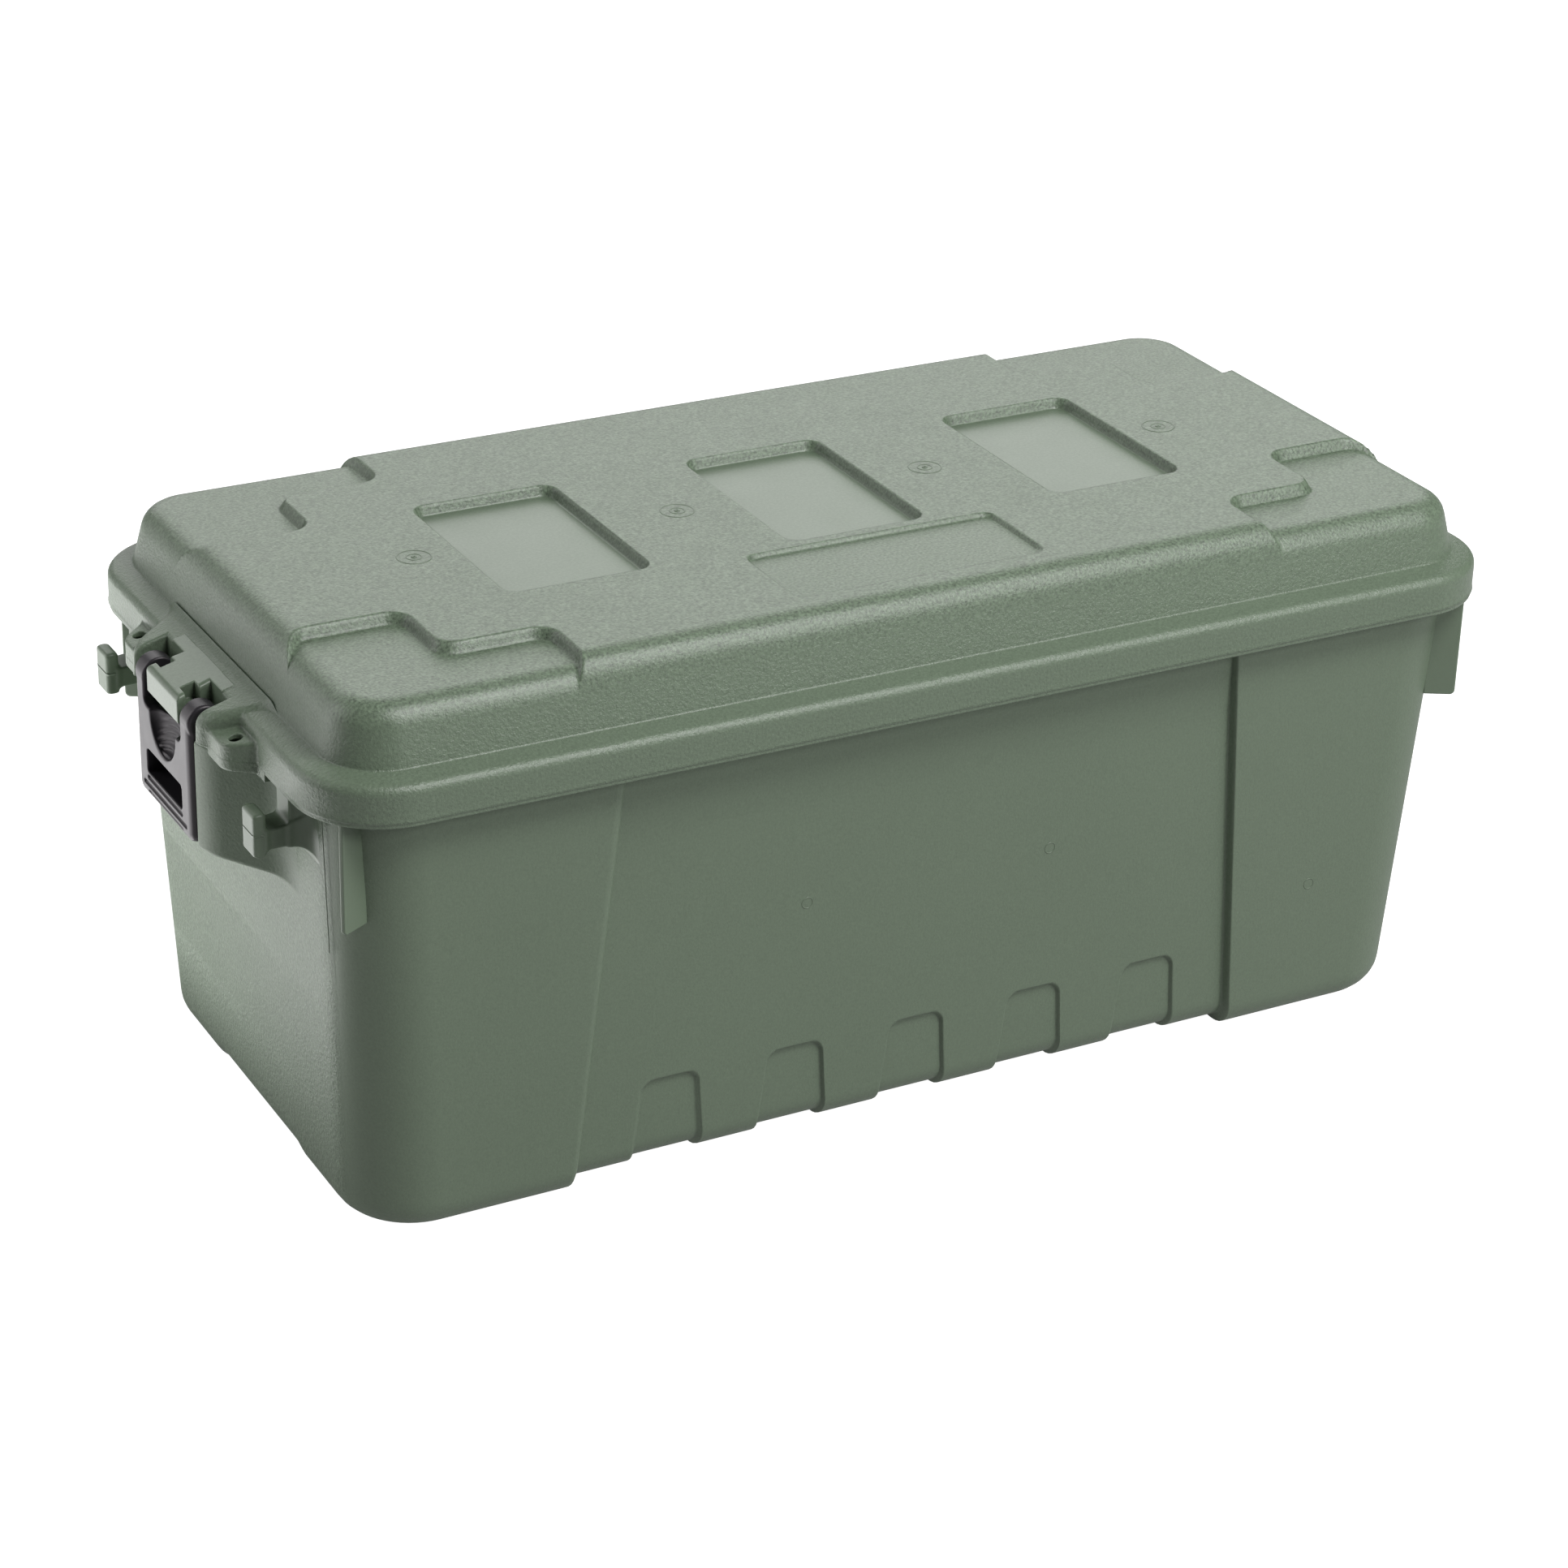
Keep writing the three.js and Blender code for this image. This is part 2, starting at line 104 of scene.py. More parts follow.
tub = Sizes(
    base_x=skirt.half_x - 25.9,
    base_y=skirt.half_y - 25.0,
    corner=45.0,
    base_round=18.0,
    draft=12.1 / skirt.bottom,
    wall_top=skirt.bottom - 1.5,
    floor=12.0,
    rim_top=tub_high[2],
)
panel = Sizes(
    depth=5.5,
    top=skirt.bottom - 7.0,
    middle_x=-2.4,
    half_at_top=191.0,
    widening=21.5 / 236.0,
    raised=3.8,
    wall=Sizes(start=-1.2, steepness=3.6, top_round=0.9, foot_round=0.6),
)
notch = Sizes(
    pitch=77.6,
    each_side=2,
    top=61.0,
    half_at_top=17.2,
    widening=4.0 / 44.0,
    straight_below=17.0,
    round=8.0,
    depth=2.3,
    raised=2.1,
    wall=Sizes(start=-0.9, steepness=3.2, top_round=0.7, foot_round=0.5),
)
foot = Sizes(gap_y=60.0, gap_slope=8.0, raised=4.0, rim=20.0, recess=6.0, lift_ends=36.0)
rim = Sizes(inset=8.0, gap=WALL + 0.8, flange=skirt.bottom + 0.4)
ejector = Sizes(inner_z=panel.top - 101.0, outer_x=258.0, outer_z=90.6, sunk=0.15)
ejector_ring = Sizes(radius=3.3, thick=0.4, turns=36)
witness = Sizes(inset=32.2, bottom=skirt.bottom - 89.0, sunk=0.12, thick=0.3)
parting = skirt.bottom + 2.0  # the height at which a hood meets its housing

housing = Sizes(
    front=tub_high[0],
    half_front=50.0,
    corner_round=9.0,
    bottom=parting - 63.5,
    rise=0.2,
    edge_round=2.2,
    cheek=41.5,
    back=END - 21.0,
    flare=10.0,
)
hood = Sizes(
    front=END - 0.7,
    side_point=(END - 4.0, 56.0),
    side_angle=math.radians(29.0),
    top_x=END - 26.0,
    top_z=TOP - 38.5,
    fall=0.2846,
    edge_round=6.5,
    corner_round=9.0,
    slot_half=45.3,
    slot_back=END - 20.0,
    patch_half=36.9,
    patch_back=END - 27.5,
    patch_thick=1.5,
    skin=0.25,
)
lug = Sizes(front=END + 0.2, half_back=21.1, half_front=23.5, bottom=TOP - 60.7)
lug_notch = Sizes(middle=END - 9.0, half=4.0, inner=14.5, bottom=TOP - 54.0)
ear = Sizes(
    front=END - 5.0,
    inner=50.0,
    side_point=(END - 4.0, 74.3),
    side_angle=math.radians(36.4),
    bottom=lid_low[2],
    top_at_skirt=TOP - 49.0,
    fall=0.2,
    hole=(END - 13.8, 72.2),
    hole_radius=3.7,
)
pin = Sizes(out=END - 9.2, z=TOP - 55.3, radius=4.2)
cleat = Sizes(
    front=END - 4.0,
    plate_back=END - 11.5,
    inner=102.0,
    outer=119.5,
    bottom=parting - 35.5,
    top=parting - 11.0,
    arm_bottom=parting - 32.0,
    saddle=parting - 20.5,
    seam=parting - 23.0,
    web_front=END - 23.5,
    flare=12.0,
)
fin = Sizes(
    root=(tub.base_x - 1.0, tub.base_y - 2.4),
    angle=math.radians(29.0),
    reach=14.5,
    sunk=4.0,
    half_thick=1.5,
    bottom=skirt.bottom - 64.5,
    corner=3.0,
)
latch = Sizes(
    front=latch_high[0],
    half_y=latch_high[1],
    bottom=latch_low[2],
    thick=7.0,
    arm_inner=28.0,
    shoulder=pin.z - 14.7,
    hook=10.2,
    bore=4.7,
    mouth_half=3.6,
    mouth_drop=4.5,
    corner=6.0,
    face_round=5.0,
)
scoop = Sizes(
    inner=(8.6, 19.4, 20.8),
    outer=(11.0, 22.6, 23.6),
    rib_pitch=3.9,
    rib_height=0.28,
    rib_half=15.0,
)
sight = Sizes(
    half_y=26.5,
    bottom=latch.shoulder - 40.0,
    top=latch.shoulder - 25.5,
    round=2.5,
    back=END - 14.0,
    lining=1.6,
)
groove_radius = 1.35
grooves = [
    Sizes(z=latch.shoulder - 42.8, half=25.3),
    Sizes(z=latch.shoulder - 47.5, half=31.5),
    Sizes(z=latch.shoulder - 51.9, half=25.3),
]

# ---------------------------------------------------------------- adding finished meshes


def area_normals(points, faces):
    """Outward direction at each point, with each face counted by its area."""
    p = points[faces]
    turn = np.cross(p[:, 2] - p[:, 0], p[:, 3] - p[:, 1])
    total = np.zeros_like(points)
    for corner in range(4):
        np.add.at(total, faces[:, corner], turn)
    length = np.linalg.norm(total, axis=1, keepdims=True)
    return total / np.maximum(length, 1e-12)


def mesh_shape(points, faces, normals=None):
    """A shape: points in mm, faces of four corners (a triangle repeats its last), directions."""
    points = np.asarray(points, float)
    faces = np.asarray(faces, int)
    if normals is None:
        normals = area_normals(points, faces)
    return Sizes(points=points, faces=faces, normals=normals, shares={})


def mirrored(shape, axis):
    flip = np.ones(3)
    flip[axis] = -1.0
    return Sizes(
        points=shape.points * flip,
        faces=shape.faces[:, ::-1],
        normals=shape.normals * flip,
        shares=shape.shares,
    )


def joined(shapes):
    offsets = np.cumsum([0] + [len(s.points) for s in shapes])
    return Sizes(
        points=np.concatenate([s.points for s in shapes]),
        faces=np.concatenate([s.faces + o for s, o in zip(shapes, offsets)]),
        normals=np.concatenate([s.normals for s in shapes]),
        shares={},
    )


def add_object(name, data):
    thing = bpy.data.objects.new(name, data)
    bpy.context.scene.collection.objects.link(thing)
    return thing


def add_piece(name, shape, body, material, stands_for=""):
    mesh = bpy.data.meshes.new(name)
    corners = [list(dict.fromkeys(face)) for face in shape.faces.tolist()]
    corners = [face for face in corners if len(face) > 2]
    mesh.from_pydata((shape.points / MILLIMETRES).tolist(), [], corners)
    mesh.shade_smooth()
    mesh.materials.append(material)
    for share, values in shape.shares.items():
        layer = mesh.attributes.new(share, "FLOAT", "POINT")
        layer.data.foreach_set("value", values.astype(np.float32))
    mesh.normals_split_custom_set_from_vertices(shape.normals.tolist())
    piece = add_object(name, mesh)
    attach(piece, body)
    if stands_for:
        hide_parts(stands_for)


def add_at_both_ends(name, shape, body, material, stands_for=""):
    """Adds a right-hand shape and its mirror image; {} in a name stands for the side."""
    for side, copy in (("right", shape), ("left", mirrored(shape, 0))):
        add_piece(f"{name}_{side}", copy, body.format(side), material, stands_for.format(side))


# ---------------------------------------------------------------- shaping by distance


def blend_min(a, b, reach):
    """The nearer of two distances, melting into each other within reach."""
    overlap = np.maximum(reach - np.abs(a - b), 0.0)
    return np.minimum(a, b) - overlap * overlap / (4.0 * reach)


def blend_max(a, b, reach):
    return -blend_min(-a, -b, reach)


def all_of(reach, first, *others):
    """What lies inside every one of the given distances, with its edges rounded by reach."""
    for other in others:
        first = blend_max(first, other, reach)
    return first


def corner_distance(a, b, radius):
    """Distance to the region where a and b are both negative, with its corner rounded."""
    a = a + radius
    b = b + radius
    outside = np.hypot(np.maximum(a, 0.0), np.maximum(b, 0.0))
    return outside + np.minimum(np.maximum(a, b), 0.0) - radius


def ramp(distance, height, steepness, top_round, foot_round):
    """Height of a slanted wall that starts at distance 0 and levels off at the given height."""
    wall = blend_min(distance * steepness, height, top_round)
    return blend_max(wall, 0.0, foot_round)


def share_down(away, height, wall):
    """1 at the foot of a wall and 0 on top of it, away growing towards its top."""
    return 1.0 - ramp(away, height, wall.steepness, wall.top_round, wall.foot_round) / height


def field_slope(field, points, gap):
    """Value and slope of a distance field at some points."""
    value = field(*points.T)
    slope = np.empty_like(points)
    for axis in range(3):
        ahead, behind = points.copy(), points.copy()
        ahead[:, axis] += gap
        behind[:, axis] -= gap
        slope[:, axis] = (field(*ahead.T) - field(*behind.T)) / (2.0 * gap)
    return value, slope


def surface_of(field, low, high, cell):
    """A closed mesh of the surface where field(out, y, z) is zero, inside the given box."""
    low, high = np.array(low, float), np.array(high, float)
    counts = np.ceil((high - low) / cell).astype(int) + 3
    axes = [low[a] + cell * (np.arange(counts[a]) - 1.0) for a in range(3)]
    grid = np.meshgrid(*axes, indexing="ij")
    value = field(*grid)
    for a in range(3):
        value = np.maximum(value, np.maximum(low[a] - grid[a], grid[a] - high[a]))
    inside = value < 0.0
    strides = np.array([counts[1] * counts[2], counts[2], 1])
    crossings, cells, quads = [], [], []
    for a in range(3):
        unit = np.zeros(3, int)
        unit[a] = 1
        second, third = np.eye(3, dtype=int)[(a + 1) % 3], np.eye(3, dtype=int)[(a + 2) % 3]
        start = np.moveaxis(inside, a, 0)[:-1]
        end = np.moveaxis(inside, a, 0)[1:]
        edges = np.argwhere(np.moveaxis(start != end, 0, a))
        here = value[tuple(edges.T)]
        there = value[tuple((edges + unit).T)]
        share = here / (here - there)
        place = edges + unit * share[:, None]
        around = [edges, edges - second, edges - second - third, edges - third]
        ids = np.stack([corner @ strides for corner in around], axis=1)
        quads.append(np.where((here < 0.0)[:, None], ids, ids[:, ::-1]))
        crossings.append(np.repeat(place, 4, axis=0))
        cells.append(ids.ravel())
    quads = np.concatenate(quads)
    cells = np.concatenate(cells)
    crossings = np.concatenate(crossings)
    used, index = np.unique(cells, return_inverse=True)
    share = 1.0 / np.bincount(index)
    points = np.stack([np.bincount(index, crossings[:, a]) * share for a in range(3)], axis=1)
    points = low + cell * (points - 1.0)
    faces = np.searchsorted(used, quads)
    return settle(field, points, faces, cell, low, high)


def settle(field, points, faces, cell, low, high):
    """Moves the points of a rough surface onto the field's zero, and finds their directions."""
    at_box = np.any((points < low + 0.6 * cell) | (points > high - 0.6 * cell), axis=1)
    for _ in range(3):
        value, slope = field_slope(field, points, 0.2 * cell)
        square = np.maximum((slope * slope).sum(axis=1), 0.05)
        move = -value[:, None] * slope / square[:, None]
        length = np.maximum(np.linalg.norm(move, axis=1), 1e-9)
        move *= np.minimum(1.0, 0.4 * cell / length)[:, None]
        points = np.where(at_box[:, None], points, points + move)
    _, slope = field_slope(field, points, 0.2 * cell)
    normals = slope / np.maximum(np.linalg.norm(slope, axis=1, keepdims=True), 1e-9)
    normals = np.where(at_box[:, None], area_normals(points, faces), normals)
    return mesh_shape(points, faces, normals)


# ---------------------------------------------------------------- shells built of rings


def graded_lines(end, features, fine, coarse, multiple):
    """Places from 0 to end, close together within reach of each feature (place, reach), that
    make a whole multiple of steps."""
    lines = [0.0]
    while lines[-1] < end:
        away = min(max(abs(lines[-1] - place) - reach, 0.0) for place, reach in features)
        lines.append(lines[-1] + min(coarse, fine + 0.35 * away))
    lines = np.array(lines) * end / lines[-1]
    count = math.ceil((len(lines) - 1) / multiple) * multiple
    spread = np.linspace(0.0, len(lines) - 1.0, count + 1)
    return np.interp(spread, np.arange(len(lines)), lines)


def both_ways(lines):
    return np.concatenate([-lines[:0:-1], lines])


def around_grid(columns, rows, turns):
    """Walks round a grid's edge: the column, row and outward direction of each place."""
    columns, rows = range(columns), range(rows)
    sides = [
        [(columns[-1], j) for j in rows],
        [(i, rows[-1]) for i in reversed(columns)],
        [(0, j) for j in reversed(rows)],
        [(i, 0) for i in columns],
    ]
    places, angles = [], []
    for quarter, side in enumerate(sides):
        places += side
        angles += [quarter * math.pi / 2.0] * len(side)
        for turn in range(1, turns):
            places.append(side[-1])
            angles.append((quarter + turn / turns) * math.pi / 2.0)
    places = np.array(places)
    directions = np.stack([np.cos(angles), np.sin(angles)], axis=1)
    return places[:, 0], places[:, 1], directions


class Shell:
    """Points and faces of a shell that is put together from a grid and rings round it."""

    def __init__(self):
        self.points = []
        self.faces = []
        self.count = 0

    def add(self, x, y, z):
        block = np.stack(np.broadcast_arrays(x, y, z), axis=-1)
        ids = self.count + np.arange(block[..., 0].size).reshape(block.shape[:-1])
        self.points.append(block.reshape(-1, 3))
        self.count += ids.size
        return ids

    def cap(self, ids, facing_up):
        quads = np.stack([ids[:-1, :-1], ids[1:, :-1], ids[1:, 1:], ids[:-1, 1:]], axis=-1)
        quads = quads.reshape(-1, 4)
        self.faces.append(quads if facing_up else quads[:, ::-1])

    def strip(self, inner, outer):
        quads = [inner, outer, np.roll(outer, -1), np.roll(inner, -1)]
        self.faces.append(np.stack(quads, axis=1))

    def grow(self, ring, place, z, outwards=True):
        """Adds a ring of points and joins it to the last one, on the outside or the inside."""
        grown = self.add(place[:, 0], place[:, 1], z)
        self.strip(*((ring, grown) if outwards else (grown, ring)))
        return grown

    def shape(self):
        return mesh_shape(np.concatenate(self.points), np.concatenate(self.faces))


def rounded_path(corners, arc_steps=6):
    """Points along corners (a, b, radius, cuts): each corner is rounded, and the straight
    stretch that leads to it is cut into that many parts."""
    places = [np.array(corner[:2], float) for corner in corners]
    path = [places[0]]
    for i in range(1, len(corners)):
        radius, cuts = corners[i][2], corners[i][3]
        here = places[i]
        back = places[i - 1] - here
        back /= np.linalg.norm(back)
        arc = [here]
        if radius > 0.0:
            ahead = places[i + 1] - here
            ahead /= np.linalg.norm(ahead)
            half = math.acos(np.clip(back @ ahead, -1.0, 1.0)) / 2.0
            reach = radius / math.tan(half)
            start, end = here + back * reach, here + ahead * reach
            middle = here + (back + ahead) / np.linalg.norm(back + ahead) * radius / math.sin(half)
            sweep = math.pi - 2.0 * half
            shares = np.linspace(0.0, 1.0, arc_steps + 1)
            bend = [math.sin((1.0 - t) * sweep) / math.sin(sweep) for t in shares]
            rise = [math.sin(t * sweep) / math.sin(sweep) for t in shares]
            arc = [middle + (start - middle) * b + (end - middle) * r for b, r in zip(bend, rise)]
        last = path[-1]
        for cut in range(1, cuts):
            path.append(last + (arc[0] - last) * cut / cuts)
        path += arc
    return np.array(path)


# ---------------------------------------------------------------- the lid's shell

COARSER = 3


def lowered_share(x, y):
    """1 on the lowered corners of the platform, 0 on its raised cross."""
    x, y = np.abs(x), np.abs(y)
    down_end = np.maximum(x - (skirt.half_x - step.flare_inset), 0.0) / step.flare_run
    down_side = np.maximum(y - (skirt.half_y - step.flare_inset), 0.0) / step.flare_run
    wing_y = step.wing_y + step.wing_flare * down_end**2
    flank_x = step.flank_x + step.flank_flare * down_side**2
    wing = corner_distance(step.wing_x - x, wing_y - y, step.corner)
    flank = corner_distance(flank_x - x, step.flank_y - y, step.corner)
    return share_down(blend_min(wing, flank, step.melt), step.height, step.wall)


def recess_drop(x, y, recess):
    """How far the floor and walls of a rectangular recess lie below the platform."""
    away = corner_distance(np.abs(x) - recess.half_x, np.abs(y) - recess.half_y, recess.round)
    steepness = recess.depth / recess.wall
    top_round, foot_round = 0.25 * recess.depth, 0.2 * recess.depth
    rise = ramp(away + recess.wall, recess.depth, steepness, top_round, foot_round)
    return recess.depth - rise


def in_nearest_window(x):
    """The place along X, measured from the middle of the nearest window."""
    return x - np.clip(np.round(x / window.pitch), -1, 1) * window.pitch


def recesses(x, y):
    windows = recess_drop(in_nearest_window(x), y, window)
    return windows + recess_drop(x - badge.middle_x, y - badge.middle_y, badge)


def lid_section(edge_inset, top):
    """The lid's outside from its flat top to the skirt: inset from the skirt, height."""
    return rounded_path(
        [
            (skirt.corner - 1.2, top, 0.0, 1),
            (edge_inset, top, platform.edge_round, 9),
            (platform.base_inset, platform.base_z, 1.4, 9),
            (0.0, ledge.edge_z, ledge.shoulder_round, 4),
            (0.0, skirt.lip + 0.8, 0.0, 4),
        ]
    )


def lid_underside():
    """From the skirt's foot line round its bottom edge and up inside the lid."""
    return rounded_path(
        [
            (-0.4, skirt.lip, 0.0, 1),
            (0.35, skirt.lip - 0.8, 0.0, 1),
            (0.35, skirt.bottom, 0.9, 2),
            (WALL, skirt.bottom, 0.9, 1),
            (WALL, ledge.edge_z - WALL, 2.0, 1),
            (platform.base_inset + WALL, platform.base_z - WALL, 2.0, 1),
            (platform.inset + WALL, TOP - WALL, 8.0, 2),
            (skirt.corner - 1.0, TOP - WALL, 0.0, 2),
        ],
        arc_steps=3,
    )


def lid_grid():
    """Lines across the lid's top, close together at its features, and the walk round their edge."""
    features_x = [
        (window.half_x, 3.5),
        (badge.half_x, 2.5),
        (window.pitch - window.half_x, 3.5),
        (step.flank_x, 9.0),
        (step.wing_x - 2.0, 7.0),
    ]
    features_y = [(window.half_y, 6.0), (step.wing_y + 8.0, 14.0), (step.flank_y - 2.0, 7.0)]
    half_x, half_y = skirt.half_x - skirt.corner, skirt.half_y - skirt.corner
    xs = both_ways(graded_lines(half_x, features_x, fine=0.9, coarse=9.0, multiple=COARSER))
    ys = both_ways(graded_lines(half_y, features_y, fine=1.0, coarse=8.0, multiple=COARSER))
    column, row, direction = around_grid(len(xs), len(ys), 16)
    base = np.stack([xs[column], ys[row]], axis=1)
    return Sizes(xs=xs, ys=ys, column=column, row=row, direction=direction, base=base)


def lid_outside(shell, grid):
    """The lid's outer face down to the line above its bottom edge, and the last ring of it."""
    x, y = np.meshgrid(grid.xs, grid.ys, indexing="ij")
    top = shell.add(x, y, TOP - step.height * lowered_share(x, y) - recesses(x, y))
    shell.cap(top, True)
    ring = top[grid.column, grid.row]
    high = lid_section(platform.inset, TOP)
    low = lid_section(platform.inset + step.retreat, TOP - step.height)
    for raised, dropped in zip(high, low):
        place = grid.base + (skirt.corner - raised[0]) * grid.direction
        share = lowered_share(*place.T)
        inset = raised[0] + (dropped[0] - raised[0]) * share
        place = grid.base + (skirt.corner - inset)[:, None] * grid.direction
        z = raised[1] + (dropped[1] - raised[1]) * share - recesses(*place.T)
        ring = shell.grow(ring, place, z)
    return ring


def lid_inside(shell, grid, ring):
    """The lid's bottom edge and its inner face, closed by a ceiling of fewer lines."""
    for inset, z in lid_underside():
        place = grid.base + (skirt.corner - inset) * grid.direction
        sunk = step.height * lowered_share(*place.T) if z > platform.base_z else 0.0
        ring = shell.grow(ring, place, z - sunk)
    x, y = np.meshgrid(grid.xs[::COARSER], grid.ys[::COARSER], indexing="ij")
    depth = WALL + step.height * lowered_share(x, y) + recesses(x, y)
    ceiling = shell.add(x, y, TOP - depth)
    shell.cap(ceiling, False)
    column = np.round(grid.column / COARSER).astype(int)
    row = np.round(grid.row / COARSER).astype(int)
    shell.strip(ring, ceiling[column, row])


def lid_shell():
    grid = lid_grid()
    shell = Shell()
    ring = lid_outside(shell, grid)
    lid_inside(shell, grid, ring)
    shape = shell.shape()
    x, y, z = shape.points.T
    sideways = np.abs(in_nearest_window(x)) - window.half_x
    away = corner_distance(sideways, np.abs(y) - window.half_y, window.round)
    shape.shares["polished"] = np.clip(-away - 1.5, 0.0, 1.0) * (z > TOP - 20.0)
    shape.shares["slope"] = np.clip((TOP - 6.0 - z) / 16.0, 0.0, 1.0) * (away > 4.0)
    return shape


# ---------------------------------------------------------------- the tub's shell


def tub_half(z):
    """Half length and half width of the tub's outside at a height."""
    return tub.base_x + tub.draft * z, tub.base_y + tub.draft * z


def panel_half(z):
    return panel.half_at_top + panel.widening * (panel.top - z)


def notch_half(z):
    below_top = np.clip(notch.top - z, 0.0, notch.top - notch.straight_below)
    return notch.half_at_top + notch.widening * below_top


def side_knots(z):
    """Where the edges of the side panel and its notches are along X at a height."""
    end = tub_half(z)[0] - tub.corner
    middles = notch.pitch * np.arange(-notch.each_side, notch.each_side + 1)
    edges = np.stack([middles - notch_half(z), middles + notch_half(z)], axis=1).ravel()
    inner = panel.middle_x + np.concatenate([[-panel_half(z)], edges, [panel_half(z)]])
    return np.concatenate([[-end], inner, [end]])


def side_rises(x, z):
    """Shares of the side panel's recess and of a notch's at a place on a long side."""
    x = x - panel.middle_x
    panel_away = np.maximum(np.abs(x) - panel_half(z), z - panel.top)
    in_panel = share_down(panel_away - panel.wall.start, panel.depth, panel.wall)
    nearest = np.clip(np.round(x / notch.pitch), -notch.each_side, notch.each_side)
    sideways = np.abs(x - nearest * notch.pitch) - notch_half(z)
    notch_away = corner_distance(sideways, z - notch.top, notch.round)
    in_notch = share_down(notch_away - notch.wall.start, notch.depth, notch.wall)
    return in_panel, in_notch


def tub_section():
    """Rows of the tub's outside from under its foot rim up to the lid: inset, height."""
    return rounded_path(
        [
            (tub.corner - 2.0, foot.recess, 0.0, 1),
            (tub.base_round + foot.rim, foot.recess, 1.5, 1),
            (tub.base_round + foot.rim - 2.0, 0.0, 1.5, 1),
            (0.0, 0.0, tub.base_round, 3),
            (0.0, notch.top - 11.0, 0.0, 9),
            (0.0, notch.top + 3.0, 0.0, 13),
            (0.0, panel.top - 6.0, 0.0, 14),
            (0.0, tub.wall_top, 0.0, 10),
        ],
        arc_steps=7,
    )


def tub_grid():
    """Lines along and across the tub, close together at its panels' edges, and the walk round."""
    knots = side_knots(notch.top)
    edges = [(abs(knot), 2.6) for knot in knots[1:-1]]
    columns = both_ways(graded_lines(knots[-1], edges, fine=0.65, coarse=13.0, multiple=3))
    shares = both_ways(graded_lines(1.0, [(0.6, 0.05)], fine=0.05, coarse=0.12, multiple=3))
    column, row, direction = around_grid(len(columns), len(shares), 14)
    return Sizes(
        knots=knots, columns=columns, shares=shares, column=column, row=row, direction=direction
    )


def round_tub(grid, half_x, half_y):
    """The walk round a rectangle that is evenly stretched from the tub's lines."""
    x = grid.columns / grid.columns[-1] * half_x
    y = grid.shares * half_y
    return np.stack([x[grid.column], y[grid.row]], axis=1)


def tub_ring(grid, inset, z):
    """Where the tub's outside is at a height, with its panels, notches and the gaps of its feet."""
    half_x, half_y = tub_half(z)
    base = round_tub(grid, half_x - tub.corner, half_y - tub.corner)
    base[:, 0] = np.interp(grid.columns, grid.knots, side_knots(z))[grid.column]
    on_side, at_end = np.abs(grid.direction.T[::-1]) > 0.999
    in_panel, in_notch = side_rises(base[:, 0], z)
    in_panel, in_notch = in_panel * on_side, in_notch * on_side
    depth = panel.depth * in_panel + notch.depth * in_notch
    place = base + (tub.corner - inset - depth)[:, None] * grid.direction
    in_gap = np.clip((foot.gap_y - np.abs(base[:, 1])) / foot.gap_slope + 0.5, 0.0, 1.0) * at_end
    raised = panel.raised * in_panel + notch.raised * in_notch + foot.raised * in_gap
    return place, z + raised * np.clip(1.0 - z / foot.lift_ends, 0.0, 1.0)


def tub_shell():
    grid = tub_grid()
    shell = Shell()
    x, y = np.meshgrid(grid.columns, grid.shares * (tub.base_y - tub.corner), indexing="ij")
    under = shell.add(x, y, foot.recess)
    shell.cap(under, False)
    ring = under[grid.column, grid.row]
    for inset, z in tub_section():
        ring = shell.grow(ring, *tub_ring(grid, inset, z), False)
    base = round_tub(grid, skirt.half_x - skirt.corner, skirt.half_y - skirt.corner)
    for inset, z in rim_section():
        ring = shell.grow(ring, base + (skirt.corner - inset) * grid.direction, z, False)
    for z in (tub.wall_top, 120.0, tub.floor + 12.0, tub.floor + 4.0):
        half_x, half_y = tub_half(z)
        base = round_tub(grid, half_x - tub.corner, half_y - tub.corner)
        inset = WALL + panel.depth + 1.0 if z < tub.wall_top else WALL
        ring = shell.grow(ring, base + (tub.corner - inset) * grid.direction, z, False)
    floor = shell.add(x, y, tub.floor)
    shell.cap(floor, True)
    shell.strip(floor[grid.column, grid.row], ring)

    shape = shell.shape()
    outside = np.abs(shape.points[:, 0]) > tub_half(shape.points[:, 2])[0] - 1.5
    inward = witness_y(shape.points[:, 2]) - np.abs(shape.points[:, 1])
    shape.shares["end_wall"] = outside * np.clip(inward / 3.0 + 0.5, 0.0, 1.0)
    return shape


def rim_section():
    """The flange that closes the lid's underside and the upright inside the lid."""
    return rounded_path(
        [
            (rim.gap + 1.0, rim.flange, 0.0, 1),
            (rim.gap, rim.flange, 0.5, 1),
            (rim.gap, rim.flange + WALL, 0.5, 1),
            (rim.inset, rim.flange + WALL, 0.5, 1),
            (rim.inset, tub.rim_top, 1.0, 2),
            (rim.inset + WALL, tub.rim_top, 1.0, 1),
            (rim.inset + WALL, rim.flange + 1.0, 0.0, 2),
        ],
        arc_steps=3,
    )


# ---------------------------------------------------------------- the ends' details


def on_tub(body, out, y, z, flare):
    """A body that flares out of the tub's wall and reaches two millimetres into it."""
    half_x, half_y = tub_half(z)
    wall = corner_distance(out - half_x, np.abs(y) - half_y, tub.corner)
    return np.maximum(blend_min(body, wall + 0.3, flare), -2.0 - wall)


def housing_field(out, y, z):
    """The housing that the latch hangs in: 45 degree side walls, flared into the end wall."""
    face = out - housing.front
    slant = (face + np.abs(y) - housing.half_front) * math.sqrt(0.5)
    plan = blend_max(face, slant, housing.corner_round)
    under = housing.bottom + housing.rise * face - z
    body = all_of(housing.edge_round, plan, under, z - (parting - 0.4))
    channel = np.maximum(np.abs(y) - housing.cheek, housing.back - out)
    body = blend_max(body, -channel, 1.6)
    return on_tub(body, out, y, z, housing.flare)


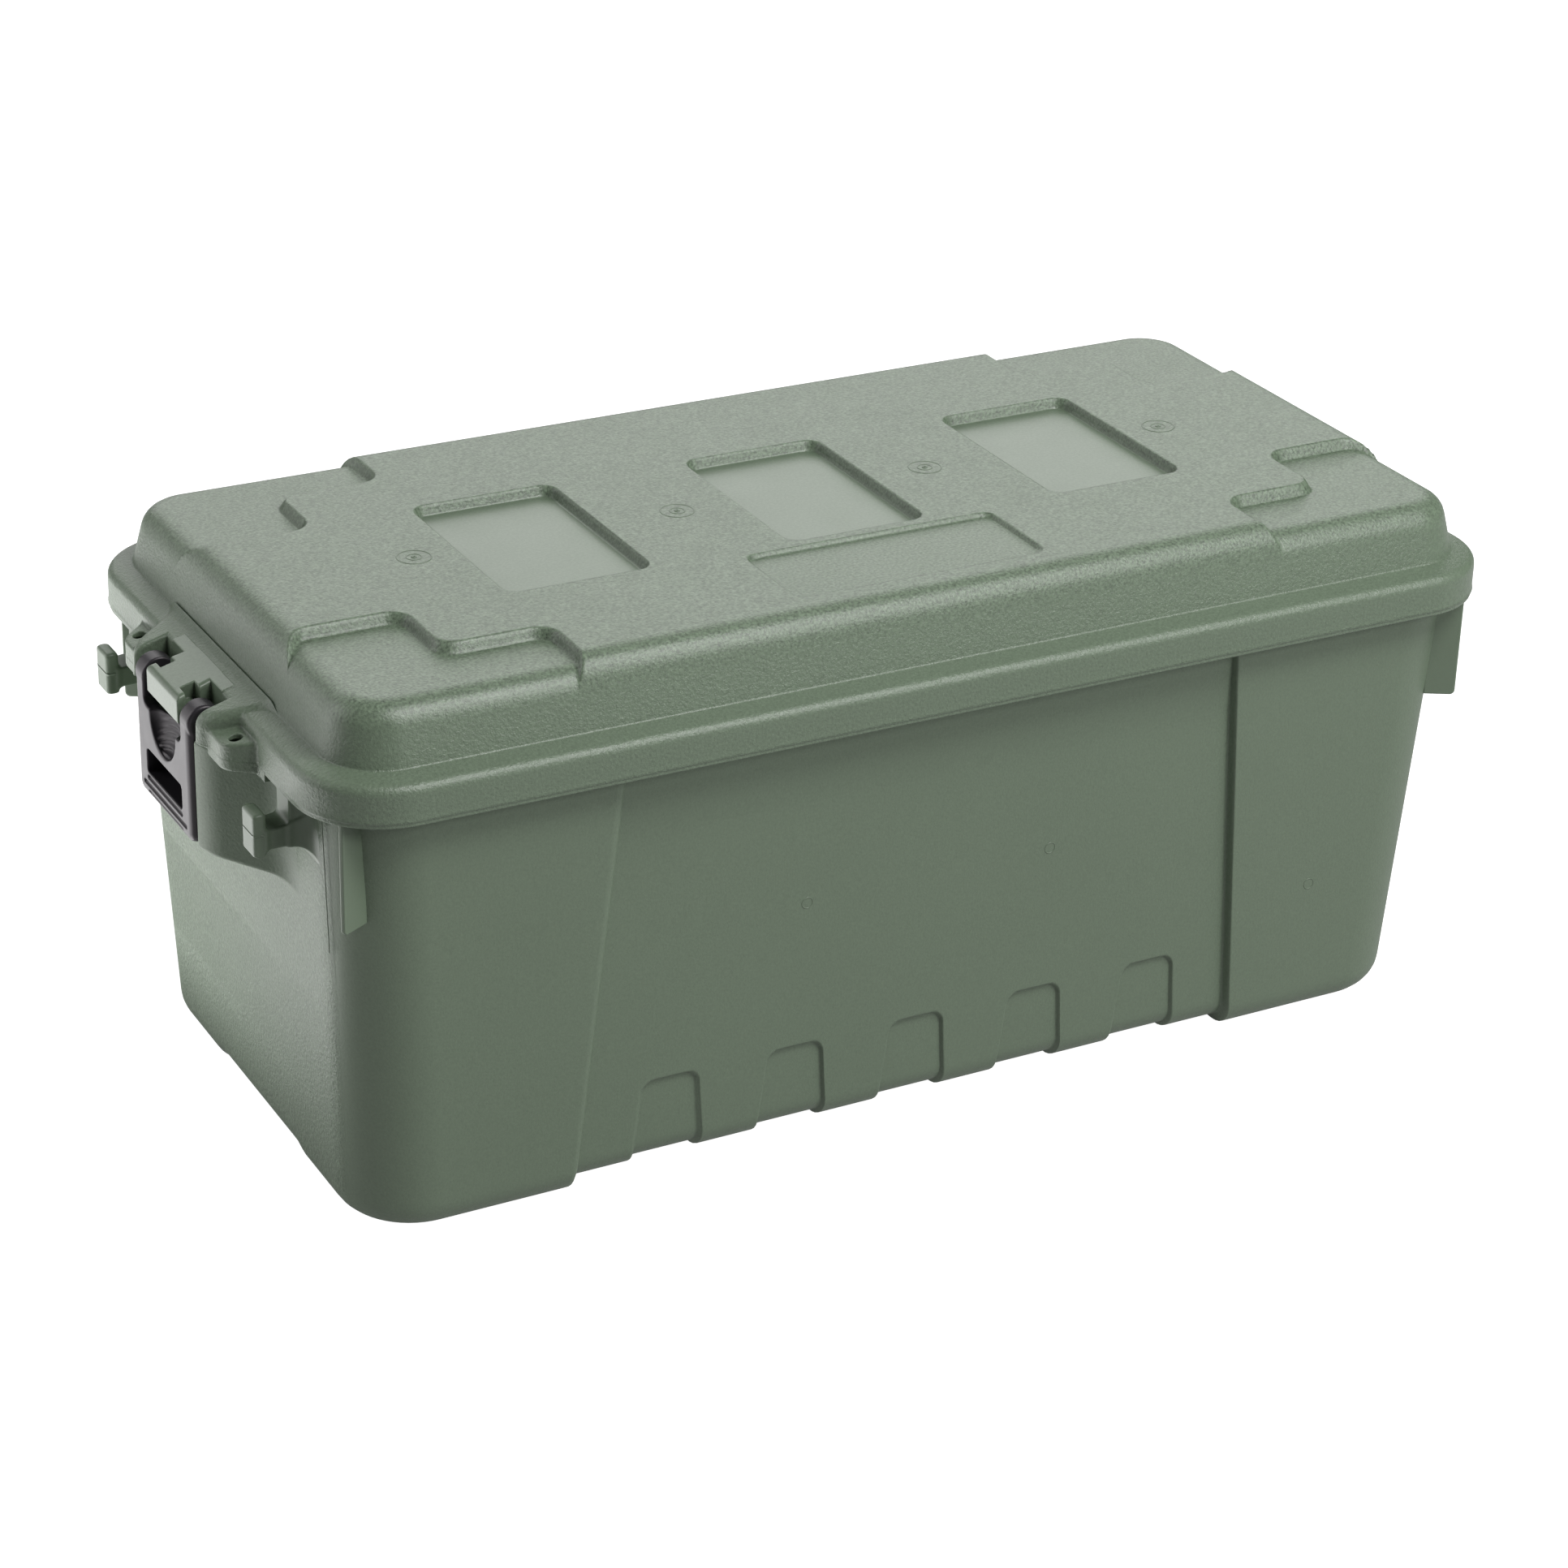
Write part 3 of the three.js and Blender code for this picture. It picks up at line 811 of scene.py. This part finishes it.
def cleat_field(out, y, z):
    """A hook for a strap: a front plate on an arm that flares into the end wall."""
    middle = 0.5 * (cleat.inner + cleat.outer)
    half = 0.5 * (cleat.outer - cleat.inner)
    sideways = np.abs(y - middle) - half
    plate = all_of(2.6, sideways, out - cleat.front, cleat.plate_back - out, z - cleat.top)
    plate = all_of(1.6, plate, cleat.bottom - z)
    saddle = cleat.saddle + 0.12 * (cleat.plate_back - out)
    above = cleat.arm_bottom - z
    arm = all_of(1.4, sideways, out - cleat.plate_back - 1.0, z - saddle, above)
    web = all_of(1.4, sideways, out - cleat.web_front, above, z - parting)
    body = blend_min(arm, web, 3.0)
    body = blend_min(body, plate, 2.4)
    seam = np.maximum(plate - 0.25, np.abs(z - cleat.seam) - 0.3)
    return on_tub(np.minimum(body, seam), out, y, z, cleat.flare)


def fin_field(out, y, z):
    """A thin upright fin that points out of the tub's corner."""
    along = (out - fin.root[0]) * math.cos(fin.angle) + (y - fin.root[1]) * math.sin(fin.angle)
    across = (y - fin.root[1]) * math.cos(fin.angle) - (out - fin.root[0]) * math.sin(fin.angle)
    outline = corner_distance(along - fin.reach, fin.bottom - z, fin.corner)
    return all_of(1.0, np.abs(across) - fin.half_thick, outline, -along - fin.sunk)


def lid_end_distance(out, z):
    """Distance outside the lid's end, from the platform's slope down to the skirt's foot."""
    section = lid_section(platform.inset, TOP)
    section = section[section[:, 1] < platform.base_z + 8.0]
    corners = np.stack([skirt.half_x - section[:, 0], section[:, 1]], axis=1)
    nearest = np.full(np.shape(out), np.inf)
    turn = np.zeros(np.shape(out))
    for start, end in zip(corners[:-1], corners[1:]):
        run = end - start
        a, b = out - start[0], z - start[1]
        share = np.clip((a * run[0] + b * run[1]) / (run @ run), 0.0, 1.0)
        away = np.hypot(a - share * run[0], b - share * run[1])
        closer = away < nearest
        nearest = np.where(closer, away, nearest)
        turn = np.where(closer, run[0] * b - run[1] * a, turn)
    return np.copysign(nearest, turn)


def slanted_side(out, side, point, angle):
    """Distance outside a wall through a point that leans in towards the skirt by an angle."""
    return (side - point[1]) * math.cos(angle) + (out - point[0]) * math.sin(angle)


def lip_below(z, height):
    """A fine lip that stands out below a height."""
    return 0.16 * np.clip((height - z) / 0.8 + 0.5, 0.0, 1.0)


def ear_field(out, side, z):
    """An ear beside the hood, with a hole for a padlock."""
    slant = slanted_side(out, side, ear.side_point, ear.side_angle)
    plan = all_of(5.0, out - ear.front, slant, ear.inner - side) - lip_below(z, skirt.lip)
    top = (z - ear.top_at_skirt + ear.fall * (out - skirt.half_x)) * 0.98
    return all_of(1.8, plan, top, ear.bottom - z)


def hood_top(out, z):
    return (z - hood.top_z + hood.fall * (out - hood.top_x)) * 0.962


def lug_field(out, side, z):
    """The hood's middle lug, with a notch near each side."""
    half = lug.half_back + (lug.half_front - lug.half_back) * (out - hood.slot_back) / 20.0
    body = all_of(1.2, side - half, out - lug.front)
    body = all_of(3.2, body, hood_top(out, z) - hood.skin)
    body = all_of(0.8, body, lug.bottom - z)
    cut = np.maximum(np.abs(out - lug_notch.middle) - lug_notch.half, lug_notch.inner - side)
    return blend_max(body, -np.maximum(cut, lug_notch.bottom - z), 0.6)


def hood_field(out, y, z):
    """The lid's hood over the latch: cheeks, slots, the middle lug with its pins, and the ears."""
    side = np.abs(y)
    top = hood_top(out, z)
    slant = slanted_side(out, side, hood.side_point, hood.side_angle)
    plan = blend_max(out - hood.front, slant, hood.corner_round)
    plan = plan + 0.03 * (z - parting) - lip_below(z, parting + 0.8)
    body = all_of(0.6, blend_max(plan, top, hood.edge_round), parting - z)
    slot = np.maximum(side - hood.slot_half, hood.slot_back - out)
    body = blend_max(body, -slot, 2.2)
    body = blend_min(body, ear_field(out, side, z), 1.8)
    lean = (platform.inset - platform.base_inset) / (TOP - platform.base_z)
    slope_face = out - (skirt.half_x - platform.base_inset) + lean * (z - platform.base_z)
    body = blend_min(body, slope_face + 0.06, 7.0)
    body = blend_min(body, lid_end_distance(out, z) + 0.06, 1.6)

    patch = all_of(0.4, side - hood.patch_half, hood.patch_back - out, top - hood.skin)
    patch = all_of(0.4, patch, -slot, -hood.patch_thick - top)
    body = np.minimum(body, patch)
    body = np.minimum(body, lug_field(out, side, z))
    peg = np.hypot(out - pin.out, z - pin.z) - pin.radius
    body = blend_min(body, np.maximum(peg, side - hood.slot_half - 1.0), 0.6)
    below = np.clip(ear.top_at_skirt - 4.0 - z, 0.0, 1.6)
    hole = np.hypot(out - ear.hole[0], side - ear.hole[1]) - ear.hole_radius - below
    body = blend_max(body, -np.maximum(hole, ear.bottom + 2.0 - z), 0.7)
    return np.maximum(body, skirt.half_x - platform.base_inset - 1.0 - out)


def bowl_distance(face, side, height, halves):
    """Rough distance outside a bowl that has the given half depth, half width and half height."""
    deep, wide, tall = halves
    reach = np.sqrt((face / deep) ** 2 + (side / wide) ** 2 + (height / tall) ** 2)
    return (reach - 1.0) * deep


def latch_scoop(body, face, y, height):
    """Sinks the finger scoop with its curved ribs into the latch, backed by a bowl of its own."""
    side = np.abs(y)
    backing = bowl_distance(face, side, height, scoop.outer)
    backing = all_of(1.0, backing, height + 0.6, face + 3.0)
    body = blend_min(body, backing, 1.0)
    bent = height + 0.014 * y * y + 0.08 * y
    ribs = scoop.rib_height * np.cos(bent * 2.0 * math.pi / scoop.rib_pitch)
    ribs = ribs * np.clip((scoop.rib_half - side) / 6.0, 0.0, 1.0) * np.clip(-face - 1.5, 0.0, 1.0)
    return blend_max(body, -(bowl_distance(face, side, height, scoop.inner) + ribs), 0.9)


def latch_sight(body, out, side, z):
    """Cuts the window through the latch's face and lines it with a thin box."""
    middle = 0.5 * (sight.top + sight.bottom)
    half = 0.5 * (sight.top - sight.bottom)
    opening = corner_distance(side - sight.half_y, np.abs(z - middle) - half, sight.round)
    lining = np.maximum(sight.back - sight.lining - out, out - latch.front + 4.0)
    body = np.minimum(body, np.maximum(opening - sight.lining, lining))
    return blend_max(body, -np.maximum(opening, sight.back - out), 0.7)


def latch_field(out, y, z):
    """The latch: a face plate with a finger scoop, a sight window, grip grooves and two hooks."""
    side = np.abs(y)
    face = out - latch.front
    back = latch.front - latch.thick - out
    outline = corner_distance(side - latch.half_y, latch.bottom - z, latch.corner)
    plate = all_of(latch.face_round, face, outline)
    plate = all_of(1.2, plate, back, z - pin.z)
    ring = np.hypot(out - pin.out, z - pin.z)
    hook = all_of(2.4, ring - latch.hook, side - latch.half_y)
    body = blend_min(plate, hook, 0.5)

    gap = corner_distance(side - latch.arm_inner, latch.shoulder - z, 5.0)
    body = blend_max(body, -gap, 1.4)
    body = blend_max(body, latch.bore - ring, 0.8)
    below_pin = z - pin.z + latch.mouth_drop
    mouth = np.maximum(np.abs(below_pin) - latch.mouth_half, out - pin.out)
    body = blend_max(body, -mouth, 0.8)

    body = latch_scoop(body, face, y, z - latch.shoulder)
    body = latch_sight(body, out, side, z)
    for groove in grooves:
        beyond = np.maximum(side - groove.half, 0.0)
        away = np.sqrt(beyond**2 + (z - groove.z) ** 2 + face**2) - groove_radius
        body = blend_max(body, -away, 0.5)
    return body


def both_sides(shape):
    return joined([shape, mirrored(shape, 1)])


def tub_housing():
    low = (tub.base_x + 4.0, -100.0, 180.0)
    return surface_of(housing_field, low, (housing.front + 1, 100.0, parting + 1), 1.0)


def tub_cleats():
    low = (tub.base_x + 4.0, 88.0, 206.0)
    return both_sides(surface_of(cleat_field, low, (cleat.front + 1, 139.0, parting), 0.75))


def tub_fins():
    low = (fin.root[0] - 5.0, fin.root[1] - 5.0, fin.bottom - 1)
    high = (fin.root[0] + 15.0, fin.root[1] + 11.0, skirt.bottom - 0.5)
    return both_sides(surface_of(fin_field, low, high, 0.6))


def lid_hood():
    """The hood, with shares that leave its middle smooth and give the rest the slope's grain."""
    low = (END - 35.0, -95.0, ear.bottom - 1)
    shape = surface_of(hood_field, low, (lug.front + 1, 95.0, platform.base_z + 5), 0.7)
    x, y, _ = shape.points.T
    smooth = (np.abs(y) < hood.patch_half + 0.5) & (x > hood.patch_back)
    shape.shares["polished"] = smooth.astype(float)
    shape.shares["slope"] = 1.0 - smooth
    return shape


def latch_shape():
    low = (pin.out - latch.hook - 1, -latch.half_y - 1, latch.bottom - 1)
    high = (latch.front + 1, latch.half_y + 1, pin.z + latch.hook + 1)
    return surface_of(latch_field, low, high, 0.65)


# ---------------------------------------------------------------- moulding marks


def cord(path, normal, thick, closed, sides=8):
    """A fine round bead along a path that lies in the surface facing along normal."""
    normal = np.array(normal, float) / np.linalg.norm(normal)
    path = np.array(path, float)
    ahead, behind = np.roll(path, -1, axis=0), np.roll(path, 1, axis=0)
    if not closed:
        ahead[-1], behind[0] = path[-1], path[0]
    outward = np.cross(ahead - behind, normal)
    outward /= np.linalg.norm(outward, axis=1, keepdims=True)
    rolls = 2.0 * np.pi * np.arange(sides) / sides
    points = [
        path + outward * thick * math.cos(roll) + normal * thick * math.sin(roll) for roll in rolls
    ]
    points = np.stack(points, axis=1).reshape(-1, 3)
    steps = len(path) if closed else len(path) - 1
    faces = []
    for step_along in range(steps):
        here = step_along * sides
        there = (step_along + 1) % len(path) * sides
        for side in range(sides):
            up = (side + 1) % sides
            faces.append((here + side, here + up, there + up, there + side))
    if not closed:
        for first, order in ((0, 1), (len(points) - sides, -1)):
            for side in range(1, sides - 1):
                face = (first, first + side, first + side + 1, first + side + 1)
                faces.append(face if order < 0 else face[2::-1] + (first,))
    return mesh_shape(points, faces)


def ring_mark(centre, normal, ring):
    """A fine raised ring, half sunk in the surface that faces along normal."""
    normal = np.array(normal, float) / np.linalg.norm(normal)
    across = np.cross(normal, (0.0, 1.0, 0.0) if abs(normal[2]) > 0.5 else (0.0, 0.0, 1.0))
    across /= np.linalg.norm(across)
    other = np.cross(normal, across)
    angles = 2.0 * np.pi * np.arange(ring.turns)[:, None] / ring.turns
    path = centre + ring.radius * (across * np.cos(angles) + other * np.sin(angles))
    return cord(path, normal, ring.thick, True)


def ejector_marks():
    """Rings that the mould's ejector pins leave on the long sides."""
    places = [
        (-notch.pitch, ejector.inner_z),
        (notch.pitch, ejector.inner_z),
        (ejector.outer_x, ejector.outer_z),
    ]
    marks = []
    for x, z in places:
        sunk = panel.depth if abs(x) < panel_half(z) else 0.0
        face = tub_half(z)[1] - sunk - ejector.sunk
        for side in (-1.0, 1.0):
            centre = np.array((x, side * face, z))
            marks.append(ring_mark(centre, (0.0, side, -tub.draft), ejector_ring))
    return joined(marks)


def witness_y(z):
    """Where the upright line between an end wall's coarse middle and its fine corner is."""
    return tub_half(z)[1] - witness.inset


def witness_lines():
    """The fine upright lines that the mould's slides leave on the right-hand end."""
    ends = (witness.bottom, tub.wall_top)
    path = [(tub_half(z)[0] - witness.sunk, witness_y(z), z) for z in ends]
    return both_sides(cord(path, (1.0, 0.0, -tub.draft), witness.thick, False))


def gate_mark_rings():
    """The marks of the lid's four filling points: a ring, and a small raised ring in its middle."""
    marks = []
    for x in (-gate_mark.far_x, -gate_mark.near_x, gate_mark.near_x, gate_mark.far_x):
        centre = np.array((x, 0.0, TOP - gate_mark.sunk))
        marks += [ring_mark(centre, (0.0, 0.0, 1.0), ring) for ring in gate_rings]
    return joined(marks)


# ---------------------------------------------------------------- materials

GREEN = (0.122, 0.162, 0.112)
BLACK = (0.016, 0.015, 0.018)


class Nodes:
    """A small helper that adds shader nodes and wires them up."""

    def __init__(self, name):
        self.material = bpy.data.materials.new(name)
        self.material.use_nodes = True
        self.tree = self.material.node_tree
        self.shader = self.tree.nodes["Principled BSDF"]
        self.place = self.add("ShaderNodeTexCoord").outputs["Object"]

    def add(self, kind, **settings):
        node = self.tree.nodes.new(kind)
        for key, value in settings.items():
            setattr(node, key, value)
        return node

    def wire(self, source, target):
        self.tree.links.new(source, target)

    def value(self, operation, a, b=0.0):
        node = self.add("ShaderNodeMath", operation=operation)
        for socket, value in zip(node.inputs, (a, b)):
            if isinstance(value, (int, float)):
                socket.default_value = value
            else:
                self.wire(value, socket)
        return node.outputs[0]

    def noise(self, size_mm, detail=2.0, roughness=0.5):
        """Noise whose blotches are about size_mm across."""
        node = self.add("ShaderNodeTexNoise")
        node.inputs["Scale"].default_value = MILLIMETRES / size_mm
        node.inputs["Detail"].default_value = detail
        node.inputs["Roughness"].default_value = roughness
        self.wire(self.place, node.inputs["Vector"])
        return node.outputs["Fac"]

    def share(self, name):
        return self.add("ShaderNodeAttribute", attribute_name=name).outputs["Fac"]

    def mix(self, share, a, b):
        """a where share is 0, b where it is 1; both are numbers or wires."""
        part_a = self.value("MULTIPLY", self.value("SUBTRACT", 1.0, share), a)
        return self.value("ADD", part_a, self.value("MULTIPLY", share, b))

    def between(self, value, low, high):
        node = self.add("ShaderNodeMapRange")
        node.inputs["To Min"].default_value = low
        node.inputs["To Max"].default_value = high
        self.wire(value, node.inputs["Value"])
        return node.outputs["Result"]

    def bump(self, height, depth_mm):
        """Makes the surface rise and fall by depth_mm as height goes from 0 to 1."""
        node = self.add("ShaderNodeBump")
        node.inputs["Distance"].default_value = 1.0 / MILLIMETRES
        self.wire(self.value("MULTIPLY", height, depth_mm), node.inputs["Height"])
        self.wire(node.outputs["Normal"], self.shader.inputs["Normal"])

    def roughness(self, middle, patch_mm, detail=3.0):
        """Roughness that varies a little in patches about patch_mm across."""
        patchy = self.between(self.noise(patch_mm, detail), -0.03, 0.03)
        self.wire(self.value("ADD", middle, patchy), self.shader.inputs["Roughness"])

    def colour(self, base, shade):
        node = self.add("ShaderNodeMix", data_type="RGBA", blend_type="MULTIPLY")
        node.inputs["Factor"].default_value = 1.0
        node.inputs["A"].default_value = (*base, 1.0)
        self.wire(shade, node.inputs["B"])
        self.wire(node.outputs["Result"], self.shader.inputs["Base Color"])


def tinted_shade(nodes, spread, flecks):
    """Slow drifts of tone, fine flecks in the pigment, and painted light: convex edges painted paler
    as a painted highlight, creases painted slightly darker as painted shade.
    """
    drift = nodes.between(nodes.noise(90.0, 3.0), 1.0 - spread, 1.0 + spread)
    fleck = nodes.value("MULTIPLY", nodes.value("SUBTRACT", nodes.noise(1.6, 2.0), 0.5), flecks)
    # Painted light from pointiness: convex edges get a painted highlight, and creases get painted
    # shade up to a tenth darker.
    edge = nodes.add("ShaderNodeNewGeometry").outputs["Pointiness"]
    painted_edge_light_and_shade = nodes.value("MULTIPLY", nodes.value("SUBTRACT", edge, 0.5), 1.2)
    painted_edge_light_and_shade = nodes.value("ADD", 1.0, nodes.value("MAXIMUM", painted_edge_light_and_shade, -0.1))
    drift = nodes.value("MULTIPLY", drift, nodes.value("ADD", 1.0, fleck))
    return nodes.value("MULTIPLY", drift, painted_edge_light_and_shade)


def lid_plastic():
    """A sandy grain, coarser on the slopes, and smooth window floors."""
    nodes = Nodes("green_lid")
    slope = nodes.share("slope")
    polished = nodes.share("polished")
    fine = nodes.noise(1.5, 3.0, 0.65)
    coarse = nodes.noise(1.9, 3.0, 0.65)
    depth = nodes.mix(slope, 0.3, 0.5)
    depth = nodes.mix(polished, depth, 0.04)
    nodes.bump(nodes.mix(slope, fine, coarse), depth)
    flecks = nodes.mix(polished, nodes.mix(slope, 1.9, 0.6), 0.5)
    nodes.colour(GREEN, tinted_shade(nodes, 0.04, flecks))
    nodes.roughness(nodes.mix(polished, 0.37, 0.32), 25.0)
    return nodes.material


def tub_plastic():
    """A fine matt grain on the long sides and a rougher one on the ends."""
    nodes = Nodes("green_tub")
    at_end = nodes.share("end_wall")
    fine = nodes.noise(1.3, 2.0)
    coarse = nodes.noise(2.2, 3.0, 0.65)
    nodes.bump(nodes.mix(at_end, fine, coarse), nodes.mix(at_end, 0.14, 0.7))
    nodes.colour(GREEN, tinted_shade(nodes, 0.03, nodes.mix(at_end, 0.3, 1.3)))
    nodes.roughness(0.5, 30.0)
    return nodes.material


def detail_plastic(name, grain_mm, grain_depth, roughness, flecks=0.1):
    """The same plastic on the end details, with a lighter grain."""
    nodes = Nodes(name)
    nodes.bump(nodes.noise(grain_mm, 2.0), grain_depth)
    nodes.colour(GREEN, tinted_shade(nodes, 0.03, flecks))
    nodes.roughness(roughness, 15.0, 2.0)
    return nodes.material


def latch_plastic():
    """Smooth black plastic with faint flow marks."""
    nodes = Nodes("black_latch")
    streaks = nodes.noise(12.0, 4.0)
    nodes.bump(nodes.noise(0.8, 2.0), 0.01)
    nodes.colour(BLACK, nodes.between(streaks, 0.8, 1.25))
    nodes.wire(nodes.between(streaks, 0.36, 0.46), nodes.shader.inputs["Roughness"])
    nodes.shader.inputs["Specular Tint"].default_value = (1.0, 0.93, 0.97, 1.0)
    return nodes.material


# ---------------------------------------------------------------- floor, light and camera

FLOOR_HALF = 8.0
FLOOR_GLOW = 0.06
FLOOR_IN_REFLECTIONS = 0.25


def floor_paper():
    """White paper: bright to the camera, fainter in reflections, and dim as a source of light."""
    nodes = Nodes("floor_paper")
    looks = {
        "Base Color": (0.4, 0.4, 0.4, 1.0),
        "Roughness": 0.9,
        "Specular IOR Level": 0.1,
        "Emission Color": (1.0, 1.0, 1.0, 1.0),
    }
    for socket, value in looks.items():
        nodes.shader.inputs[socket].default_value = value
    rays = nodes.add("ShaderNodeLightPath").outputs
    elsewhere = nodes.between(rays["Is Glossy Ray"], FLOOR_GLOW, FLOOR_IN_REFLECTIONS)
    glow = nodes.value("MAXIMUM", rays["Is Camera Ray"], elsewhere)
    nodes.wire(glow, nodes.shader.inputs["Emission Strength"])
    return nodes.material


def add_floor():
    mesh = bpy.data.meshes.new("floor")
    corners = [(-1, -1, 0), (1, -1, 0), (1, 1, 0), (-1, 1, 0)]
    mesh.from_pydata([Vector(corner) * FLOOR_HALF for corner in corners], [], [(0, 1, 2, 3)])
    mesh.materials.append(floor_paper())
    add_object("floor", mesh)


def add_area_light(name, place, target, size, power):
    light = bpy.data.lights.new(name, "AREA")
    light.shape = "RECTANGLE"
    light.size, light.size_y = size
    light.energy = power
    lamp = add_object(name, light)
    away = Vector(target) - Vector(place)
    lamp.location = place
    lamp.rotation_euler = away.to_track_quat("-Z", "Y").to_euler()


def add_lights():
    """A pale wall behind, boxes at the front, above and at the left, and light off the table."""
    world = bpy.data.worlds.new("studio")
    world.use_nodes = True
    background = world.node_tree.nodes["Background"]
    background.inputs["Color"].default_value = (1.0, 1.0, 1.0, 1.0)
    background.inputs["Strength"].default_value = 0.05
    bpy.context.scene.world = world
    middle = (0.0, 0.0, 0.25)
    add_area_light("back_wall", (1.1, 3.0, 1.8), middle, (4.0, 2.2), 58.0)
    add_area_light("front_box", (1.5, -2.7, 1.8), middle, (0.8, 0.8), 46.0)
    add_area_light("top_box", (0.7, -1.5, 2.6), middle, (1.6, 1.0), 72.0)
    add_area_light("left_box", (-2.4, 1.6, 1.2), middle, (2.4, 2.4), 40.0)
    add_area_light("table_glow", (-0.86, 0.65, 0.002), (-0.86, 0.65, 1.0), (0.9, 1.0), 5.6)
    add_area_light("near_glow", (-0.62, 0.30, 0.002), (-0.62, 0.30, 1.0), (0.4, 0.6), 2.8)
    bpy.context.scene.view_settings.view_transform = "Standard"


def add_camera():
    """The camera stands to the front left, above the lid, and leans by a degree and a half."""
    azimuth, elevation, roll = math.radians(-28.82), math.radians(25.97), math.radians(1.604)
    distance = 2.3398
    aim = Matrix.Translation((-0.0174, -0.0193, 0.15))
    turn = Matrix.Rotation(azimuth, 4, "Z") @ Matrix.Rotation(math.pi / 2.0 - elevation, 4, "X")
    lean = Matrix.Rotation(roll, 4, "Z")
    camera = bpy.data.cameras.new("camera")
    camera.sensor_width = 36.0
    camera.lens = 92.67
    camera.clip_end = 30.0
    viewer = add_object("camera", camera)
    viewer.matrix_world = aim @ turn @ lean @ Matrix.Translation((0.0, 0.0, distance))
    bpy.context.scene.camera = viewer


# ---------------------------------------------------------------- the whole footlocker

tub_green = tub_plastic()
lid_green = lid_plastic()
housing_green = detail_plastic("green_housing", 1.6, 0.2, 0.5, 0.4)
smooth_green = detail_plastic("green_details", 1.0, 0.03, 0.42)
latch_black = latch_plastic()

add_piece("tub_shell", tub_shell(), "tub_body", tub_green, "tub")
add_piece("tub_ejector_marks", ejector_marks(), "tub_body", smooth_green)
add_at_both_ends("tub_housing", tub_housing(), "tub_body", housing_green)
add_at_both_ends("tub_cleats", tub_cleats(), "tub_body", smooth_green)
add_at_both_ends("tub_fins", tub_fins(), "tub_body", smooth_green)
add_at_both_ends("tub_witness_lines", witness_lines(), "tub_body", smooth_green)
add_piece("lid_shell", lid_shell(), "lid_body", lid_green, "lid")
add_piece("lid_gate_marks", gate_mark_rings(), "lid_body", smooth_green)
add_at_both_ends("lid_hood", lid_hood(), "lid_body", lid_green)
add_at_both_ends("latch_moulding", latch_shape(), "latch_{}_body", latch_black, "latch_{}")
add_floor()
add_lights()
add_camera()
